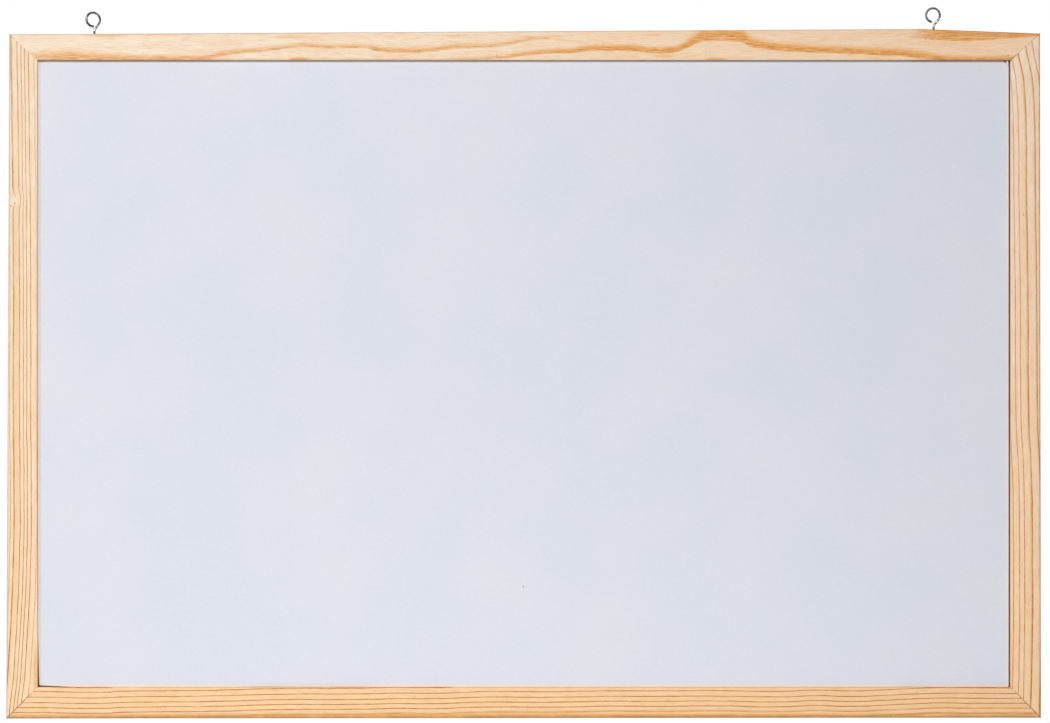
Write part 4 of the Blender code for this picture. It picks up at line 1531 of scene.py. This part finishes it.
hardboard = {
    # darker than plain hardboard: its own brown, darkened further as painted shade for the narrow gaps
    # beside the sheet where it shows
    "dark": (0.040, 0.018, 0.010, 1.0),
    "light": (0.15, 0.075, 0.040, 1.0),
    "chip": (0.30, 0.18, 0.10, 1.0),
    "mottleScale": 28.0,
    "fibreScale": 1500.0,
    "fibreStretch": (1.0, 1.0, 0.45),
    "chipScale": 620.0,
    "screenPitch": 1.6 * mm,
    "hollowShade": 0.62,
    "smoothFace": 0.55,
    "roughBack": 0.85,
    "specular": 0.25,
    "bumpDistance": 0.25 * mm,
    "bumpStrength": 0.8,
    "fibreHeight": 0.35,
}


def hardboardFinish():
    finish, tree, shader = newMaterial("hardboardBrown")
    point = objectPoint(tree)
    split = addNode(tree, "ShaderNodeSeparateXYZ")
    feed(tree, split.inputs[0], point)
    middle = (hardboardLow.y + hardboardHigh.y) / 2
    isBack = calc(tree, "GREATER_THAN", split.outputs["Y"], middle)
    mottle = noise(tree, point, hardboard["mottleScale"], 4.0, 0.6)
    fibrePlace = vectorCalc(tree, "MULTIPLY", point, hardboard["fibreStretch"])
    fibres = noise(tree, fibrePlace, hardboard["fibreScale"], 3.0, 0.65)
    colour = mixColour(tree, remap(tree, fibres, 0.3, 0.72), hardboard["dark"], hardboard["light"])
    colour = mixColour(tree, remap(tree, mottle, 0.35, 0.7, 0.0, 0.35), colour, hardboard["light"])
    chips = remap(tree, noise(tree, point, hardboard["chipScale"], 1.0, 0.5), 0.66, 0.74)
    colour = mixColour(tree, calc(tree, "MULTIPLY", chips, isBack), colour, hardboard["chip"])

    def ridges(axis):
        turn = calc(tree, "MULTIPLY", split.outputs[axis], math.tau / hardboard["screenPitch"])
        return calc(tree, "SINE", turn)

    screen = calc(tree, "MULTIPLY", ridges("X"), ridges("Z"))
    screen = calc(tree, "MULTIPLY", calc(tree, "ABSOLUTE", screen), isBack)
    hollow = remap(tree, screen, 0.0, 0.9, hardboard["hollowShade"], 1.0)
    shade = mixNumber(tree, isBack, 1.0, hollow)
    colour = shaded(tree, colour, shade)
    feed(tree, shader.inputs["Base Color"], colour)
    roughness = mixNumber(tree, isBack, hardboard["smoothFace"], hardboard["roughBack"])
    feed(tree, shader.inputs["Roughness"], roughness)
    shader.inputs["Specular IOR Level"].default_value = hardboard["specular"]
    height = calc(tree, "MULTIPLY_ADD", fibres, hardboard["fibreHeight"], screen)
    addBump(tree, shader, height, hardboard["bumpDistance"], hardboard["bumpStrength"])
    return finish


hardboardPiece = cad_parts["hardboard_back"]
hardboardPiece.data.materials.clear()
hardboardPiece.data.materials.append(hardboardFinish())
print("hardboard finished")


# the screw eyes, bent from plated wire

eye = {
    "wireRadius": 0.95 * mm,
    "loopRadius": 6.0 * mm,
    "loopOffset": -0.5 * mm,
    "loopHeight": 13.2 * mm,
    "joinAngle": math.radians(37),
    "stemBendRadius": 5.0 * mm,
    "threadLength": 8.0 * mm,
    "threadPitch": 1.1 * mm,
    "threadCore": 0.75 * mm,
    "threadRidge": 0.35 * mm,
    "pointLength": 2.5 * mm,
    "endRound": 0.3 * mm,
    "wireSides": 28,
    "ringsPerPitch": 14,
    "bendSteps": 12,
    "loopSteps": 90,
    "roundSteps": 4,
    "bluntTip": 0.04,                 # the point's thickness at its very end, as a share of the wire's
    "sharpAngle": math.radians(50),
}
plating = {
    # the wire's tone is clouds between these two, much stronger than plating's own mottle: painted
    # highlights and painted dark reflections
    "bright": (0.66, 0.665, 0.68, 1.0),
    "dull": (0.13, 0.132, 0.14, 1.0),
    "speck": (0.09, 0.085, 0.08, 1.0),
    "cloudScale": 260.0,
    "speckScale": 1700.0,
    "roughness": (0.20, 0.38),
    "bumpDistance": 0.02 * mm,
}
eyes = {
    "screwEyeLeft": {
        "node": "screw_eye_left", "fromSightEdge": 48.6 * mm, "side": "left",
        "turn": math.radians(24), "lean": math.radians(-2.5), "endAngle": math.radians(270),
    },
    "screwEyeRight": {
        "node": "screw_eye_right", "fromSightEdge": 66.1 * mm, "side": "right",
        "turn": 0.0, "lean": 0.0, "endAngle": math.radians(259),
    },
}


def eyePath(endAngle):
    # points of the wire's middle line in the eye's own plane as (place, core radius, ridge height)
    stations = []
    bottom = -(eye["threadLength"] + eye["pointLength"])
    threadSteps = round(-bottom / eye["threadPitch"] * eye["ringsPerPitch"])
    for step in range(threadSteps + 1):
        height = bottom * (1 - step / threadSteps)
        full = min(1.0, (height - bottom) / eye["pointLength"] + eye["bluntTip"])
        fade = min(1.0, -height / eye["threadPitch"])
        core = eye["threadCore"] + (eye["wireRadius"] - eye["threadCore"]) * (1 - fade)
        stations.append((Vector((0, 0, height)), core * full, eye["threadRidge"] * full * fade))
    join = Vector((
        eye["loopOffset"] + eye["loopRadius"] * math.cos(eye["joinAngle"]), 0,
        eye["loopHeight"] - eye["loopRadius"] * math.sin(eye["joinAngle"]),
    ))
    meeting = join.z - join.x / math.tan(eye["joinAngle"])
    bendStart = meeting - eye["stemBendRadius"] * math.tan(eye["joinAngle"] / 2)
    for step in range(eye["bendSteps"] + 1):
        turn = eye["joinAngle"] * step / eye["bendSteps"]
        arm = Vector((1 - math.cos(turn), 0, math.sin(turn))) * eye["stemBendRadius"]
        stations.append((Vector((0, 0, bendStart)) + arm, eye["wireRadius"], 0.0))
    loopCentre = Vector((eye["loopOffset"], 0, eye["loopHeight"]))
    loopTurn = endAngle + eye["joinAngle"]
    for step in range(eye["loopSteps"] + 1):
        turn = -eye["joinAngle"] + loopTurn * step / eye["loopSteps"]
        arm = Vector((math.cos(turn), 0, math.sin(turn))) * eye["loopRadius"]
        stations.append((loopCentre + arm, eye["wireRadius"], 0.0))
    last = stations[-1][0]
    onward = Vector((-math.sin(endAngle), 0, math.cos(endAngle)))
    for step in range(1, eye["roundSteps"] + 1):
        turn = math.radians(90) * step / eye["roundSteps"]
        radius = eye["wireRadius"] - eye["endRound"] * (1 - math.cos(turn))
        stations.append((last + onward * eye["endRound"] * math.sin(turn), radius, 0.0))
    return stations


def makeWireTree():
    # sweeps a round wire along its path, with a thread's ridge where the path asks for one
    tree, given, out = newGroup(
        "threadedWire", "GeometryNodeTree",
        [("Geometry", "Geometry", None), ("Sides", "Int", 24), ("Thread Pitch", "Float", 0.001),
         ("Material", "Material", None)],
        [("Geometry", "Geometry")],
    )
    path = addNode(tree, "GeometryNodeMeshToCurve")
    feed(tree, path.inputs[0], given["Geometry"])
    middle = addNode(tree, "GeometryNodeInputPosition").outputs[0]
    marked = store(tree, path.outputs[0], "middle", middle, "FLOAT_VECTOR")
    section = addNode(tree, "GeometryNodeCurvePrimitiveCircle")
    feed(tree, section.inputs["Resolution"], given["Sides"])
    section.inputs["Radius"].default_value = 0.2 * mm     # any will do, each ring is set to its own below
    factor = addNode(tree, "GeometryNodeSplineParameter").outputs["Factor"]
    ring = store(tree, section.outputs[0], "around", factor)
    sweep = addNode(tree, "GeometryNodeCurveToMesh")
    feed(tree, sweep.inputs["Curve"], marked)
    feed(tree, sweep.inputs["Profile Curve"], ring)
    sweep.inputs["Fill Caps"].default_value = True
    position = addNode(tree, "GeometryNodeInputPosition").outputs[0]
    swept = named(tree, "middle", "FLOAT_VECTOR")
    outward = vectorCalc(tree, "NORMALIZE", vectorCalc(tree, "SUBTRACT", position, swept))
    turns = calc(tree, "DIVIDE", named(tree, "height"), given["Thread Pitch"])
    phase = calc(tree, "FRACT", calc(tree, "SUBTRACT", named(tree, "around"), turns))
    tooth = calc(tree, "PINGPONG", calc(tree, "MULTIPLY", phase, 2.0), 1.0)
    radius = calc(tree, "MULTIPLY_ADD", tooth, named(tree, "ridge"), named(tree, "core"))
    setPlace = addNode(tree, "GeometryNodeSetPosition")
    feed(tree, setPlace.inputs["Geometry"], sweep.outputs[0])
    feed(tree, setPlace.inputs["Position"], vectorCalc(
        tree, "ADD", swept, vectorCalc(tree, "SCALE", outward, scale=radius)))
    finishTree(tree, setPlace.outputs[0], given["Material"], out)
    return tree


def topEdgeHeight(x):
    crestX = sightRight - rails["topRail"]["crestFromSightEnd"]
    corner = outerCorner["topLeft"] if x < crestX else outerCorner["topRight"]
    share = (x - corner.x) / (crestX - corner.x)
    return corner.z + (crestTop - corner.z) * share


def zincFinish():
    finish, tree, shader = newMaterial("zincWire")
    point = objectPoint(tree)
    clouds = noise(tree, point, plating["cloudScale"], 3.0, 0.6)
    specks = noise(tree, point, plating["speckScale"], 3.0, 0.6)
    # painted highlights and painted dark reflections in clouds over the wire
    colour = mixColour(tree, remap(tree, clouds, 0.36, 0.56), plating["bright"], plating["dull"])
    colour = mixColour(tree, remap(tree, specks, 0.55, 0.75, 0.0, 0.5), colour, plating["speck"])
    feed(tree, shader.inputs["Base Color"], colour)
    shader.inputs["Metallic"].default_value = 1.0
    feed(tree, shader.inputs["Roughness"], remap(tree, specks, 0.3, 0.7, *plating["roughness"]))
    addBump(tree, shader, specks, plating["bumpDistance"])
    return finish


def buildEye(name, own, tree, finish):
    x = sightLeft + own["fromSightEdge"] if own["side"] == "left" else sightRight - own["fromSightEdge"]
    foot = Matrix.Translation((x, (frontFace + backFace) / 2, topEdgeHeight(x)))
    stand = foot @ Matrix.Rotation(own["lean"], 4, "Y") @ Matrix.Rotation(own["turn"], 4, "Z")
    stations = eyePath(own["endAngle"])
    path = loopMesh(
        name + "Path", [stand @ place for place, core, ridge in stations], False,
        height=[place.z for place, core, ridge in stations],
        core=[core for place, core, ridge in stations],
        ridge=[ridge for place, core, ridge in stations],
    )
    mesh = runTree(name, path, tree, {
        "Sides": eye["wireSides"], "Thread Pitch": eye["threadPitch"], "Material": finish})
    faceOutwards(mesh)
    mesh.shade_smooth()
    mesh.set_sharp_from_angle(angle=eye["sharpAngle"])
    addPiece(name, mesh, [own["node"]])


wireTree = makeWireTree()
zinc = zincFinish()
for name, own in eyes.items():
    buildEye(name, own, wireTree, zinc)
print("screw eyes bent and screwed in")
